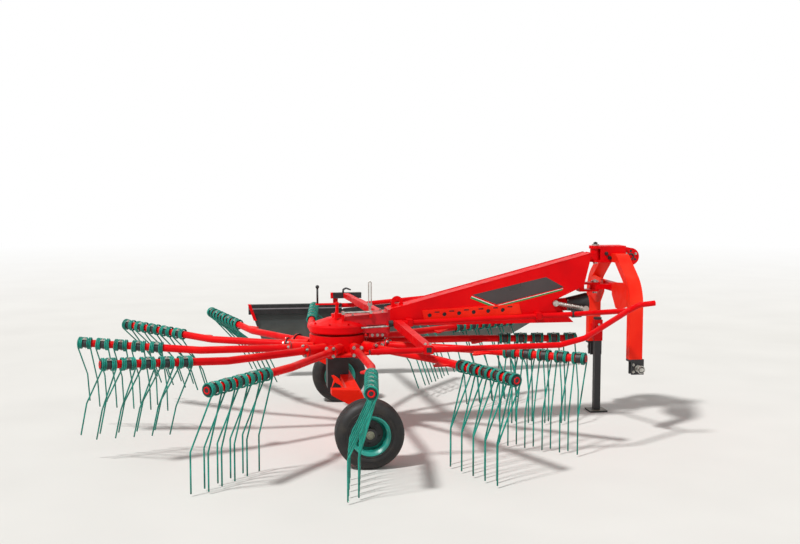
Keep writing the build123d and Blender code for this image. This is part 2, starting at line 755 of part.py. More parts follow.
def crosshead():
    """Bar between the legs with the tongue of the lower swivel."""
    inner = LEG_Y - LEG_WIDTH / 2
    bar = block(
        (CROSSHEAD_REAR_X, -inner, CROSSHEAD_LOW), (CROSSHEAD_FRONT_X, inner, CROSSHEAD_HIGH)
    )
    bar += block(
        (SWIVEL_X, -SWIVEL_EYE_RADIUS, TONGUE_LOW),
        (CROSSHEAD_REAR_X + 1.0, SWIVEL_EYE_RADIUS, TONGUE_HIGH),
    )
    bar += post(SWIVEL_X, 0, TONGUE_LOW, TONGUE_HIGH, SWIVEL_EYE_RADIUS)
    return bar - post(SWIVEL_X, 0, TONGUE_LOW - 1.0, TONGUE_HIGH + 1.0, SWIVEL_PIN_RADIUS)


def top_box():
    """Plates over and under the boom's eye, both cheeks and the top link's ears."""
    half = TOP_BOX_HALF_WIDTH
    box = None
    for low, high in (
        (TOP_BOX_LOW, UPPER_EYE_LOW - FORK_GAP),
        (UPPER_EYE_HIGH + FORK_GAP, TOP_BOX_HIGH),
    ):
        plate = block((SWIVEL_X, -half, low), (TOP_BOX_FRONT_X, half, high))
        plate += post(SWIVEL_X, 0, low, high, SWIVEL_EYE_RADIUS + 8.0)
        box = plate if box is None else box + plate
    front = block(
        (TOP_BOX_FRONT_X - 14.0, -half, TOP_BOX_LOW), (TOP_BOX_FRONT_X, half, TOP_BOX_HIGH)
    )
    cheek = block(
        (SWIVEL_X + 14.0, half - TOP_BOX_SIDE, TOP_BOX_LOW), (TOP_BOX_FRONT_X, half, TOP_BOX_HIGH)
    )
    box += front + cheek + mirrored(cheek)
    ear = side_plate(
        polygon(
            [
                (TOP_BOX_FRONT_X - 1.0, TOP_BOX_LOW - 10.0),
                (TOP_EAR_X, TOP_EAR_Z - TOP_EAR_RADIUS),
                (TOP_EAR_X, TOP_EAR_Z + TOP_EAR_RADIUS),
                (TOP_BOX_FRONT_X - 1.0, TOP_BOX_HIGH - 6.0),
            ]
        ),
        TOP_LINK_HALF_GAP,
        TOP_LINK_HALF_GAP + TOP_EAR_THICK,
    )
    ear += rod(
        (TOP_EAR_X, TOP_LINK_HALF_GAP, TOP_EAR_Z),
        (TOP_EAR_X, TOP_LINK_HALF_GAP + TOP_EAR_THICK, TOP_EAR_Z),
        TOP_EAR_RADIUS,
    )
    ear -= ear_hole(TOP_EAR_X, TOP_EAR_Z, TOP_LINK_BORE_RADIUS)
    for angle in TOP_LINK_SPARE_HOLES_DEG:
        x = TOP_EAR_X + TOP_LINK_SPARE_REACH * cos(radians(angle))
        z = TOP_EAR_Z + TOP_LINK_SPARE_REACH * sin(radians(angle))
        ear -= ear_hole(x, z, TOP_LINK_SPARE_RADIUS)
    box += ear + mirrored(ear)
    box -= post(SWIVEL_X, 0, TOP_BOX_LOW - 1.0, TOP_BOX_HIGH + 1.0, SWIVEL_PIN_RADIUS)
    return box


def ear_hole(x, z, radius):
    """The round bar that a hole through the left ear takes away."""
    far = TOP_LINK_HALF_GAP + TOP_EAR_THICK + 1.0
    return rod((x, TOP_LINK_HALF_GAP - 1.0, z), (x, far, z), radius)


def swivel_pins():
    """Upper and lower swivel pins with their heads."""
    upper = post(SWIVEL_X, 0, TOP_BOX_LOW - 12.0, TOP_BOX_HIGH, SWIVEL_PIN_RADIUS)
    upper += post(SWIVEL_X, 0, TOP_BOX_HIGH, TOP_BOX_HIGH + 10.0, SWIVEL_PIN_RADIUS + 9.0)
    low = TONGUE_LOW - FORK_GAP - FORK_PLATE
    high = TONGUE_HIGH + FORK_GAP + FORK_PLATE
    lower = post(SWIVEL_X, 0, low - 14.0, high + 1.0, SWIVEL_PIN_RADIUS)
    lower += post(SWIVEL_X, 0, high + 1.0, high + 11.0, SWIVEL_PIN_RADIUS + 9.0)
    return upper, lower


def hitch_bracket():
    """Left clevis under the leg: top plate and two cheeks bored for the lower pin."""
    inner = LEG_Y - LEG_WIDTH / 2
    outer = LEG_Y + LEG_WIDTH / 2
    rear = HITCH_PIN_X - BRACKET_HALF_DEPTH
    front = HITCH_PIN_X + BRACKET_HALF_DEPTH
    top_low = LEG_LOW_Z - BRACKET_THICK
    bracket = block((LEG_X - LEG_DEPTH / 2, inner, top_low), (front, outer, LEG_LOW_Z))
    for near in (inner, outer - BRACKET_THICK):
        bracket += block((rear, near, BRACKET_LOW_Z), (front, near + BRACKET_THICK, top_low + 1.0))
    return bracket - rod(
        (HITCH_PIN_X, inner - 1.0, HITCH_PIN_Z),
        (HITCH_PIN_X, outer + 1.0, HITCH_PIN_Z),
        HITCH_PIN_RADIUS,
    )


def hitch_pin():
    """Left lower pin: through the clevis and out to the side, with its collar."""
    inner = LEG_Y - LEG_WIDTH / 2
    outer = LEG_Y + LEG_WIDTH / 2
    pin = rod(
        (HITCH_PIN_X, inner - 14.0, HITCH_PIN_Z),
        (HITCH_PIN_X, outer + HITCH_PIN_REACH, HITCH_PIN_Z),
        HITCH_PIN_RADIUS,
    )
    return pin + rod(
        (HITCH_PIN_X, outer, HITCH_PIN_Z), (HITCH_PIN_X, outer + 8.0, HITCH_PIN_Z), 22.0
    )


def gusset():
    """Left upright plate that ties the leg's shoulder to the crosshead."""
    rear = LEG_X - LEG_DEPTH / 2
    outline = Plane(origin=(rear, 0, 0), x_dir=(0, 1, 0), z_dir=(1, 0, 0)) * polygon(GUSSET_OUTLINE)
    return extrude(outline, amount=GUSSET_THICK)


def stand_sleeve():
    """Square sleeve beside the left leg with the strap that ties it to the leg."""
    half = STAND_SLEEVE / 2
    sleeve = block(
        (STAND_X - half, STAND_Y - half, STAND_SLEEVE_LOW),
        (STAND_X + half, STAND_Y + half, STAND_SLEEVE_HIGH),
    )
    inner = LEG_Y - LEG_WIDTH / 2
    sleeve += block(
        (STAND_X - half, STAND_Y + half - 1.0, STAND_SLEEVE_LOW + STAND_TIE_LOW),
        (STAND_X + half, inner, STAND_SLEEVE_LOW + STAND_TIE_HIGH),
    )
    bore = STAND_LEG + 2 * SLIDE_GAP
    return sleeve - block(
        (STAND_X - bore / 2, STAND_Y - bore / 2, STAND_SLEEVE_LOW - 1.0),
        (STAND_X + bore / 2, STAND_Y + bore / 2, STAND_SLEEVE_HIGH + 1.0),
    )


def stand_leg():
    """The leg with its foot on the floor."""
    half = STAND_LEG / 2
    leg = block((STAND_X - half, STAND_Y - half, 0.0), (STAND_X + half, STAND_Y + half, STAND_TOP))
    foot = STAND_FOOT / 2
    return leg + block(
        (STAND_X - foot, STAND_Y - foot, 0.0), (STAND_X + foot, STAND_Y + foot, STAND_FOOT_THICK)
    )


def drive_shaft():
    """Shaft through the boom with the splined stub that takes the drive."""
    front_x = SHAFT_FRONT[0]
    shaft = rod(SHAFT_REAR, shaft_place(front_x, -STUB_LENGTH), SHAFT_RADIUS)
    return shaft + rod(shaft_place(front_x, -STUB_LENGTH - 1.0), SHAFT_FRONT, STUB_RADIUS)


def guard_bowl():
    """Open bowl round the drive stub, screwed to the bearing's face."""
    outline = [
        # radius, distance in front of the bearing
        (BEARING_RADIUS, 0.0),
        (BOWL_RADIUS, BOWL_LENGTH),
        (BOWL_RADIUS - BOWL_WALL, BOWL_LENGTH),
        (BEARING_RADIUS - BOWL_WALL - 1.0, 5.0),
        (SHAFT_RADIUS + 6.0, 5.0),
        (SHAFT_RADIUS + 6.0, 0.0),
    ]
    bowl = revolve(Plane.XZ * polygon(outline), axis=Axis.Z)
    run = Vector(*SHAFT_FRONT) - Vector(*SHAFT_REAR)
    return Plane(origin=shaft_place(BEARING_FRONT_X), z_dir=run) * bowl


def beam_point(y):
    """A point on the crosswise tube's axis."""
    share = (y - BEAM_ROOT[1]) / (BEAM_AT_CURTAIN[1] - BEAM_ROOT[1])
    return tuple(BEAM_ROOT[i] + (BEAM_AT_CURTAIN[i] - BEAM_ROOT[i]) * share for i in range(3))


def cross_beam():
    """Square tube out to the left, with the foot that joins it to the boom's side."""
    bore = BEAM_SIDE - 2 * BEAM_WALL
    tube = square_bar(beam_point(BOOM_HALF_WIDTH + 9.0), beam_point(BEAM_END_Y), BEAM_SIDE, bore)
    foot = block(
        (BEAM_ROOT[0] - BEAM_FOOT_BEHIND, BOOM_HALF_WIDTH, BOOM_BOTTOM_Z),
        (
            BEAM_ROOT[0] + BEAM_FOOT_AHEAD,
            BOOM_HALF_WIDTH + BEAM_FOOT_THICK,
            BOOM_BOTTOM_Z + BEAM_FOOT_HEIGHT,
        ),
    )
    return foot + tube


def curtain_arm():
    """Inner square tube that slides in the crosswise tube, with the head that holds the rail."""
    side = BEAM_SIDE - 2 * BEAM_WALL - 2 * SLIDE_GAP
    inner = BEAM_END_Y - CURTAIN_ARM_INSIDE
    arm = square_bar(beam_point(inner), beam_point(CURTAIN_Y), side)
    axis_z = BEAM_AT_CURTAIN[2]
    return arm + block(
        (SLEEVE_REAR_X, CURTAIN_Y - SLEEVE_HALF, axis_z - SLEEVE_HALF),
        (SLEEVE_FRONT_X, CURTAIN_Y + SLEEVE_HALF, axis_z + SLEEVE_HALF),
    )


def curtain_rail():
    """Round front rail, the clamp profile over the rear and two hangers to the arm's head."""
    rear, kink, front = RAIL_COURSE
    rail = rod(
        (RAIL_LAP_X, CURTAIN_Y, rear[1] + 3.0), (kink[0], CURTAIN_Y, kink[1]), RAIL_RADIUS
    )
    rail += rod((kink[0], CURTAIN_Y, kink[1]), (front[0], CURTAIN_Y, front[1]), RAIL_RADIUS)
    rail += Pos(kink[0], CURTAIN_Y, kink[1]) * Sphere(RAIL_RADIUS)
    half = CLAMP_SIDE / 2
    clamp = polygon(
        [
            (rear[0], rear[1] + 20.0),
            (RAIL_LAP_X + 20.0, rear[1] + 22.0),
            (RAIL_LAP_X + 20.0, rear[1] - 16.0),
            (rear[0], rear[1] - 18.0),
        ]
    )
    rail += side_plate(clamp, CURTAIN_Y - half, CURTAIN_Y + half)
    head_low = BEAM_AT_CURTAIN[2] - SLEEVE_HALF
    for x in (SLEEVE_REAR_X + 20.0, SLEEVE_FRONT_X - 60.0):
        rail += block((x, CURTAIN_Y - 10.0, rear[1] + 8.0), (x + 40.0, CURTAIN_Y + 10.0, head_low))
    return rail


def curtain_cloth():
    """The hanging cloth as a thin slab, with its front lower corner cut away."""
    rear, kink, front = RAIL_COURSE
    outline = polygon(
        [
            (rear[0], rear[1] - 18.5),
            (RAIL_LAP_X + 20.0, rear[1] - 16.5),
            (RAIL_LAP_X + 40.0, kink[1] - RAIL_RADIUS - 1.0),
            (kink[0], kink[1] - RAIL_RADIUS - 1.0),
            (front[0], front[1] - RAIL_RADIUS - 1.0),
            (front[0], CLOTH_FRONT_CUT_Z),
            (CLOTH_FRONT_LOW_X, CLOTH_LOW_Z),
            (rear[0], CLOTH_LOW_Z),
        ]
    )
    return side_plate(outline, CURTAIN_Y - CLOTH_THICK / 2, CURTAIN_Y + CLOTH_THICK / 2)


def side_guard():
    """Folding guard: bent outer tube, hinge tube, nose strut and the square crosswise bar."""
    guard = bent_tube(GUARD_COURSE, 30.0, GUARD_TUBE_RADIUS)
    guard += rod(GUARD_HINGE_REAR, GUARD_HINGE_FRONT, GUARD_TUBE_RADIUS)
    guard += rod(GUARD_HINGE_FRONT, GUARD_JOIN, GUARD_TUBE_RADIUS)
    guard += Pos(*GUARD_HINGE_FRONT) * Sphere(GUARD_TUBE_RADIUS)
    return guard + square_bar(GUARD_BAR_ROOT, GUARD_BAR_END, BEAM_SIDE)


def hinge_clamp(x):
    """Block on the boom's right side that holds the guard's hinge tube in its bore."""
    rear = Vector(*GUARD_HINGE_REAR)
    run = Vector(*GUARD_HINGE_FRONT) - rear
    z = rear.Z + (x - rear.X) * run.Z / run.X
    half = HINGE_CLAMP_LENGTH / 2
    clamp = block(
        (x - half, rear.Y - HINGE_CLAMP_HALF, z - HINGE_CLAMP_HALF),
        (x + half, -BOOM_HALF_WIDTH - RACK_THICK, z + HINGE_CLAMP_HALF),
    )
    clamp += block(
        (x - half, -BOOM_HALF_WIDTH - RACK_THICK - 1.0, z - HINGE_CLAMP_HALF),
        (x + half, -BOOM_HALF_WIDTH, z + HINGE_CLAMP_HALF),
    )
    return clamp - rod(GUARD_HINGE_REAR, GUARD_HINGE_FRONT, GUARD_TUBE_RADIUS + RUNNING_GAP)


def stabiliser():
    """Left spring strut of the swivel, from its boss on the boom to its front seat."""
    rear = Vector(*SPRING_REAR)
    boss = rod(
        (rear.X, BOOM_HALF_WIDTH, rear.Z), (rear.X, rear.Y + 12.0, rear.Z), SPRING_BOSS_RADIUS
    )
    strut = rod(SPRING_REAR, SPRING_FRONT, SPRING_RADIUS)
    front = Vector(*SPRING_FRONT)
    seat = rod(
        (front.X, front.Y - 12.0, front.Z), (front.X, front.Y + 12.0, front.Z), SPRING_BOSS_RADIUS
    )
    return boss + strut + seat


def wheels():
    """Both tyres and rims."""
    for side, sign in (("left", 1), ("right", -1)):
        place = Pos(WHEEL_X, sign * TRACK_HALF, TYRE_RADIUS)
        save("tyre_" + side, place * tyre())
        wheel = rim()
        save("rim_" + side, place * (wheel if sign > 0 else mirrored(wheel)))


def rotor():
    """Hub, arms and one node of double tines for each arm."""
    save("rotor_hub", rotor_hub())
    arm = tine_arm()
    save("tine_arms", *[arm_place(number, lift) * arm for number, lift in CAM_LIFT])
    tines = [double_tine(COIL_START + index * 2 * COIL_PITCH) for index in range(DOUBLE_TINES)]
    for number, lift in CAM_LIFT:
        place = arm_place(number, lift) * outer_part()
        save("tines_%02d" % number, *[place * tine for tine in tines])


def chassis():
    """All that stands still between the rotor's spindle and the swivel."""
    save("boom", boom())
    save("arm_racks", arm_rack(), mirrored(arm_rack()))
    save("gear_housing", gear_housing())
    save("cam_housing", cam_housing())
    save("centre_column", centre_column())
    save("axle_beam", axle_beam())
    save("stub_axle_left", stub_axle())
    save("stub_axle_right", mirrored(stub_axle()))
    save("height_crank", height_crank())
    save("lock_handle", lock_handle())
    save("lift_eye", lift_eye())
    save("cross_beam", cross_beam())
    save("guard_bowl", guard_bowl())
    save("stabilisers", stabiliser(), mirrored(stabiliser()))
    save("drive_shaft", drive_shaft())


def headstock():
    """Headstock, its pins and the parking stand."""
    frame = headstock_frame()
    save("headstock_frame", frame)
    save("headstock_top_box", top_box() - frame)
    save("headstock_crosshead", crosshead() - frame)
    save("headstock_gussets", gusset() - frame, mirrored(gusset()) - frame)
    save("swivel_pins", *swivel_pins())
    save("hitch_bracket_left", hitch_bracket())
    save("hitch_bracket_right", mirrored(hitch_bracket()))
    save("hitch_pins", hitch_pin(), mirrored(hitch_pin()))
    save("stand_sleeve", stand_sleeve())
    save("stand_leg", stand_leg())


def guards():
    """Curtain on the left and folding guard on the right."""
    save("curtain_arm", curtain_arm())
    save("curtain_rail", curtain_rail())
    save("curtain_cloth", curtain_cloth())
    save("side_guard", side_guard())
    save("hinge_clamps", *[hinge_clamp(x) for x in HINGE_CLAMPS_X])


wheels()
rotor()
chassis()
headstock()
guards()
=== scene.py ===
"""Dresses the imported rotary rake: wound spring tines, ribbed tyres, cloth, paint, small parts."""
import math

import bmesh
import bpy
from bpy.props import FloatProperty, IntProperty, PointerProperty, StringProperty
from mathutils import Matrix, Vector


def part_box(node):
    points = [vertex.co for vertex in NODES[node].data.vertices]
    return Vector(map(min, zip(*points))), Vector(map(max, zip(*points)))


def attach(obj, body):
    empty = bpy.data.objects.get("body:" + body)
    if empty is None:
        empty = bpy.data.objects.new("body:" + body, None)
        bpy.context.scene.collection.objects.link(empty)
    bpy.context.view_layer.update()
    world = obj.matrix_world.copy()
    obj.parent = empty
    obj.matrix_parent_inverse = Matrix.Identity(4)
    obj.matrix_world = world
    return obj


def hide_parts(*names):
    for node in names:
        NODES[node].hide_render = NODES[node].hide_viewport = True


bl_info = {
    "name": "Rotary Rake Dressing",
    "version": (1, 0, 0),
    "blender": (4, 5, 0),
    "location": "View3D > Sidebar > Rake",
    "description": "Builds the visible surfaces of a single-rotor rotary rake",
    "category": "Object",
}

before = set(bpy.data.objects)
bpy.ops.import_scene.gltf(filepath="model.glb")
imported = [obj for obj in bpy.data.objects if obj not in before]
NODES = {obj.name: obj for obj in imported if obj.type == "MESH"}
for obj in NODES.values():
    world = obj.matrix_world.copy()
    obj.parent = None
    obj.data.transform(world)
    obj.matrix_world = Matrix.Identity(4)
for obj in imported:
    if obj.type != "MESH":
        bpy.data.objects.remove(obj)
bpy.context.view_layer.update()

# The rotor's upright axis: every place in this file is counted from it, in metres
HUB_LOW, HUB_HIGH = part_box("rotor_hub")
ROTOR_AXIS = Vector(((HUB_LOW.x + HUB_HIGH.x) / 2, (HUB_LOW.y + HUB_HIGH.y) / 2, 0.0))

# Arm number and how far its cam turns it back, in degrees
CAM_LIFT = (
    (1, 0.0), (2, 0.0), (3, 0.0), (4, 0.0), (5, 0.0), (6, 8.0),
    (7, 20.0), (8, 28.0), (9, 28.0), (10, 28.0), (11, 27.0), (12, 24.0),
)

SIDES = (("left", 1), ("right", -1))
UP = (0, 0, 1)


class RakeTineSettings(bpy.types.PropertyGroup):
    """Sizes of the arms and their spring tines"""

    arm_height: FloatProperty(
        name="Arm height", description="Height of the arms' axes", default=0.585, unit="LENGTH"
    )
    arm_offset: FloatProperty(
        name="Arm offset", description="How far arms stand off the rotor's axis",
        default=0.092, unit="LENGTH",
    )
    bend: FloatProperty(
        name="Bend", description="Place of an arm's bend along its inner part",
        default=0.900, unit="LENGTH",
    )
    sweep: FloatProperty(
        name="Sweep", description="How far an arm's outer part is swept back",
        default=math.radians(9.0), subtype="ANGLE",
    )
    arm_radius: FloatProperty(
        name="Arm radius", description="Outer radius of an arm's tube", default=0.024,
        unit="LENGTH",
    )
    first_arm: FloatProperty(
        name="First arm", description="Direction of the first arm in plan",
        default=math.radians(-118.2), subtype="ANGLE",
    )
    first_coil: FloatProperty(
        name="First coil", description="Place of the innermost coil beyond the arm's bend",
        default=0.250, unit="LENGTH",
    )
    coil_pitch: FloatProperty(
        name="Coil pitch", description="From one coil to the next", default=0.057,
        unit="LENGTH",
    )
    coil_radius: FloatProperty(
        name="Coil radius", description="Outer radius of a coil", default=0.040, unit="LENGTH"
    )
    double_tines: IntProperty(
        name="Double tines", description="Number of double tines on an arm", default=5
    )
    wire: FloatProperty(
        name="Wire", description="Diameter of the spring wire", default=0.0095, unit="LENGTH"
    )
    wire_sides: IntProperty(
        name="Wire sides", description="Facets round the wire", default=8, min=5
    )
    slant_run: FloatProperty(
        name="Slant run", description="Length of a prong above its knee", default=0.365,
        unit="LENGTH",
    )
    tip_height: FloatProperty(
        name="Tip height", description="Height of a hanging prong's tip", default=0.014,
        unit="LENGTH",
    )
    inner_slant: FloatProperty(
        name="Inner slant", description="Lean of the inner prong above its knee",
        default=math.radians(16.0), subtype="ANGLE",
    )
    outer_slant: FloatProperty(
        name="Outer slant", description="Lean of the outer prong above its knee",
        default=math.radians(25.0), subtype="ANGLE",
    )


class RakeWheelSettings(bpy.types.PropertyGroup):
    """Sizes of the wheels and their tyres"""

    radius: FloatProperty(
        name="Tyre radius", description="Outer radius of a tyre", default=0.203, unit="LENGTH"
    )
    width: FloatProperty(
        name="Tyre width", description="Width of a tyre", default=0.165, unit="LENGTH"
    )
    seat: FloatProperty(
        name="Bead seat", description="Radius where the tyre sits on its rim",
        default=0.103, unit="LENGTH",
    )
    forward: FloatProperty(
        name="Forward", description="How far ahead of the rotor's axis the wheels stand",
        default=0.100, unit="LENGTH",
    )
    track_half: FloatProperty(
        name="Half track", description="From the machine's middle to a wheel's middle",
        default=0.950, unit="LENGTH",
    )
    ribs: IntProperty(name="Ribs", description="Ribs round the tread", default=5)
    steps: IntProperty(name="Steps", description="Steps round a tyre", default=64)


class RakeFinishSettings(bpy.types.PropertyGroup):
    """Colours of the finishes, as sRGB hex"""

    red: StringProperty(name="Red", description="Powder coat of the frame", default="de0009")
    # The racks' own orange-red, also used as painted light: a sunlit copy of the frame's red on the
    # headstock, its gussets and the axle
    rack_sunlit_red: StringProperty(name="Rack red", description="Racks' coat", default="f02613")
    graphite: StringProperty(name="Graphite", description="Coat of dark parts", default="222022")
    cloth: StringProperty(name="Cloth", description="Swath curtain", default="383d3c")


def linear(text):
    """An sRGB hex value as linear RGBA."""
    parts = [int(text[i:i + 2], 16) / 255 for i in (0, 2, 4)]
    return (*[c / 12.92 if c <= 0.04045 else ((c + 0.055) / 1.055) ** 2.4 for c in parts], 1.0)


def node(tree, kind, links=(), inputs=(), **settings):
    """Adds a node: its settings, the values of its sockets, then its links."""
    made = tree.nodes.new(kind)
    for key, value in settings.items():
        setattr(made, key, value)
    for key, value in inputs:
        made.inputs[key].default_value = value
    for key, source in links:
        tree.links.new(source, made.inputs[key])
    return made


def grain(millimetres, detail):
    """The values that give a noise features of a real width."""
    return [("Scale", 1000.0 / millimetres), ("Detail", detail)]


def ends(from_low, from_high, low, high):
    """The values that move a range to another one."""
    return [("From Min", from_low), ("From Max", from_high), ("To Min", low), ("To Max", high)]


def new_finish(name, cloud, *stops, **sockets):
    """A material, its tree, its shader, the piece's own coordinates and its clouded colour.

    The cloud is a width in millimetres and a detail; each stop is a place in it and its hex.
    """
    made = bpy.data.materials.new(name)
    made.use_nodes = True
    tree = made.node_tree
    shader = tree.nodes["Principled BSDF"]
    for key, value in sockets.items():
        shader.inputs[key.replace("_", " ")].default_value = value
    place = node(tree, "ShaderNodeTexCoord").outputs["Object"]
    noise = node(tree, "ShaderNodeTexNoise", [("Vector", place)], grain(*cloud))
    ramp = node(tree, "ShaderNodeValToRGB", [("Fac", noise.outputs["Fac"])])
    while len(ramp.color_ramp.elements) < len(stops):
        ramp.color_ramp.elements.new(0.5)
    for element, (where, text) in zip(ramp.color_ramp.elements, stops):
        element.position = where
        element.color = linear(text)
    return made, tree, shader, place, ramp.outputs["Color"]


def cover(tree, place, colour, over_hex, patch, reach, mask=None):
    """Covers a colour with another in patches, where a mask lets it, and returns its share too.

    The patch is a width in millimetres and a detail; the reach is the range of the noise that
    the share grows over, and the share at its two ends.
    """
    share = node(tree, "ShaderNodeTexNoise", [("Vector", place)], grain(*patch)).outputs["Fac"]
    if mask is not None:
        share = node(
            tree, "ShaderNodeMath", [(0, mask), (1, share)], operation="MULTIPLY"
        ).outputs["Value"]
    share = node(
        tree, "ShaderNodeMapRange", [("Value", share)], ends(*reach)
    ).outputs["Result"]
    # 6 and 7 are the Mix node's colour sockets, and 2 is its colour output
    mixed = node(
        tree, "ShaderNodeMix", [(0, share), (6, colour)], [(7, linear(over_hex))],
        data_type="RGBA",
    )
    return mixed.outputs[2], share


def dusty(tree, place, colour, dust_hex, most):
    """Hay dust in patches on the faces that look up."""
    normal = node(tree, "ShaderNodeNewGeometry").outputs["Normal"]
    up = node(tree, "ShaderNodeSeparateXYZ", [("Vector", normal)]).outputs["Z"]
    return cover(tree, place, colour, dust_hex, (70.0, 6.0), (0.34, 0.70, 0.0, most), up)[0]


def surface(tree, shader, place, colour, rough, relief=None):
    """Gives a shader its colour, a clouded roughness and a relief.

    The roughness has a cloud's width, its detail and the values at its two ends; the relief
    has a width, a detail, a depth and a strength. Widths and depths are in millimetres.
    """
    width, detail, low, high = rough
    cloud = node(tree, "ShaderNodeTexNoise", [("Vector", place)], grain(width, detail))
    level = node(
        tree, "ShaderNodeMapRange", [("Value", cloud.outputs["Fac"])], ends(0.3, 0.7, low, high)
    )
    tree.links.new(colour, shader.inputs["Base Color"])
    tree.links.new(level.outputs["Result"], shader.inputs["Roughness"])
    if relief:
        width, detail, depth, strength = relief
        noise = node(tree, "ShaderNodeTexNoise", [("Vector", place)], grain(width, detail))
        bump = node(
            tree, "ShaderNodeBump", [("Height", noise.outputs["Fac"])],
            [("Distance", depth / 1000.0), ("Strength", strength)],
        )
        tree.links.new(bump.outputs["Normal"], shader.inputs["Normal"])


def powder_coat(name, base, dark, light, dust):
    """Red powder coat on steel: gloss with a fine orange peel, and dust where it lies flat."""
    made, tree, shader, place, colour = new_finish(
        name, (260.0, 3.0), (0.25, dark), (0.5, base), (0.78, light),
        Metallic=0.0, Coat_Weight=0.02, Coat_Roughness=0.18, IOR=1.5, Specular_IOR_Level=0.10,
    )
    colour = dusty(tree, place, colour, "d8b489", dust)
    # Real orange peel is about 1 mm wide, too fine to show, so it is drawn at 5 mm
    surface(tree, shader, place, colour, (45.0, 5.0, 0.34, 0.56), (5.0, 2.0, 0.25, 0.35))
    return made


def cast_iron_coat(name, base, dark):
    """Painted cast iron: the sand mould's grain shows through a thick coat."""
    made, tree, shader, place, colour = new_finish(
        name, (80.0, 4.0), (0.3, dark), (0.65, base),
        Metallic=0.0, IOR=1.5, Coat_Weight=0.05, Specular_IOR_Level=0.25,
    )
    colour = dusty(tree, place, colour, "c4a27c", 0.12)
    surface(tree, shader, place, colour, (6.0, 4.0, 0.42, 0.62), (6.0, 4.0, 0.9, 0.7))
    return made


def spring_lacquer():
    """Teal dip lacquer on spring wire: it wears to bright steel at the prongs' tips."""
    made, tree, shader, place, colour = new_finish(
        "teal_spring_lacquer", (60.0, 4.0), (0.28, "066154"), (0.5, "0b8272"), (0.75, "25a08c"),
        IOR=1.5, Coat_Weight=0.05, Specular_IOR_Level=0.25,
    )
    tips = node(tree, "ShaderNodeAttribute", attribute_name="wear").outputs["Fac"]
    colour, worn = cover(
        tree, place, colour, "8d8b84", (12.0, 5.0), (0.48, 0.70, 0.0, 0.7), tips
    )
    tree.links.new(worn, shader.inputs["Metallic"])
    colour = dusty(tree, place, colour, "c9b48a", 0.08)
    surface(tree, shader, place, colour, (60.0, 4.0, 0.30, 0.48), (4.0, 3.0, 0.15, 0.4))
    return made


def rim_lacquer():
    """Teal lacquer on pressed steel rims: smooth, with mud dust in the dish."""
    made, tree, shader, place, colour = new_finish(
        "teal_rim_lacquer", (90.0, 4.0), (0.3, "0f7267"), (0.55, "1b9283"), (0.8, "33ac9a"),
        IOR=1.5, Coat_Weight=0.3,
    )
    colour, _ = cover(tree, place, colour, "6f7a68", (22.0, 6.0), (0.52, 0.72, 0.0, 0.35))
    surface(tree, shader, place, colour, (90.0, 4.0, 0.28, 0.5), (6.0, 2.0, 0.2, 0.4))
    return made


def graphite_coat(base):
    """Dark satin coat on clamps and the column: nearly black, greyed by dust."""
    made, tree, shader, place, colour = new_finish(
        "graphite_coat", (50.0, 5.0), (0.3, "161517"), (0.55, base), (0.85, "343134"), IOR=1.5
    )
    colour = dusty(tree, place, colour, "a8957a", 0.45)
    surface(tree, shader, place, colour, (50.0, 5.0, 0.42, 0.62), (5.0, 3.0, 0.25, 0.5))
    return made


def zinc_plate():
    """Zinc plated steel: pale grey metal, clouded by its passivation."""
    made, tree, shader, place, colour = new_finish(
        "zinc_plate", (18.0, 5.0), (0.3, "8f8d86"), (0.55, "b5b3ac"), (0.8, "cfcdc6"),
        Metallic=1.0,
    )
    surface(tree, shader, place, colour, (18.0, 5.0, 0.28, 0.5), (4.0, 3.0, 0.1, 0.4))
    return made


def tyre_rubber():
    """Cured natural rubber, moulded: matt dark brown-grey with dried soil on its ribs."""
    made, tree, shader, place, colour = new_finish(
        "tyre_rubber", (55.0, 6.0), (0.28, "171516"), (0.5, "201e1e"), (0.74, "2c2927"),
        IOR=1.52, Specular_IOR_Level=0.35,
    )
    colour, _ = cover(tree, place, colour, "5c5140", (60.0, 8.0), (0.50, 0.75, 0.0, 0.22))
    surface(tree, shader, place, colour, (55.0, 6.0, 0.46, 0.62), (5.0, 6.0, 0.5, 0.6))
    return made


def curtain_cloth(base):
    """PVC coated polyester: a soft sheen over a square weave, dusty at its foot."""
    made, tree, shader, place, colour = new_finish(
        "pvc_curtain_cloth", (190.0, 5.0), (0.3, "2b2f2e"), (0.55, base), (0.8, "474c4a"),
        IOR=1.5, Sheen_Weight=0.15, Sheen_Roughness=0.5,
    )
    height = node(tree, "ShaderNodeSeparateXYZ", [("Vector", place)]).outputs["Z"]
    foot = node(
        tree, "ShaderNodeMapRange", [("Value", height)], ends(0.28, 0.48, 0.45, 0.0)
    ).outputs["Result"]
    colour, _ = cover(tree, place, colour, "8d8068", (45.0, 7.0), (0.0, 1.0, 0.0, 1.0), foot)
    surface(tree, shader, place, colour, (190.0, 5.0, 0.48, 0.68))
    # The real threads stand 1 mm apart, too fine to show: a wave of scale 10 repeats at 31 mm
    across, upright = (
        node(
            tree, "ShaderNodeTexWave", [("Vector", place)], [("Scale", 10.0)],
            bands_direction=way,
        ).outputs["Fac"]
        for way in ("X", "Z")
    )
    weave = node(tree, "ShaderNodeMath", [(0, across), (1, upright)], operation="MULTIPLY")
    bump = node(
        tree, "ShaderNodeBump", [("Height", weave.outputs["Value"])],
        [("Distance", 0.0006), ("Strength", 0.5)],
    )
    tree.links.new(bump.outputs["Normal"], shader.inputs["Normal"])
    return made


def moulded_plastic():
    """Black moulded plastic of caps, grip and guard bowl: satin with a fine spark texture."""
    made, tree, shader, place, colour = new_finish(
        "black_moulded_plastic", (30.0, 4.0), (0.3, "101011"), (0.7, "232324"), IOR=1.46
    )
    colour = dusty(tree, place, colour, "8b8272", 0.12)
    surface(tree, shader, place, colour, (30.0, 4.0, 0.40, 0.56), (3.0, 2.0, 0.2, 0.4))
    return made


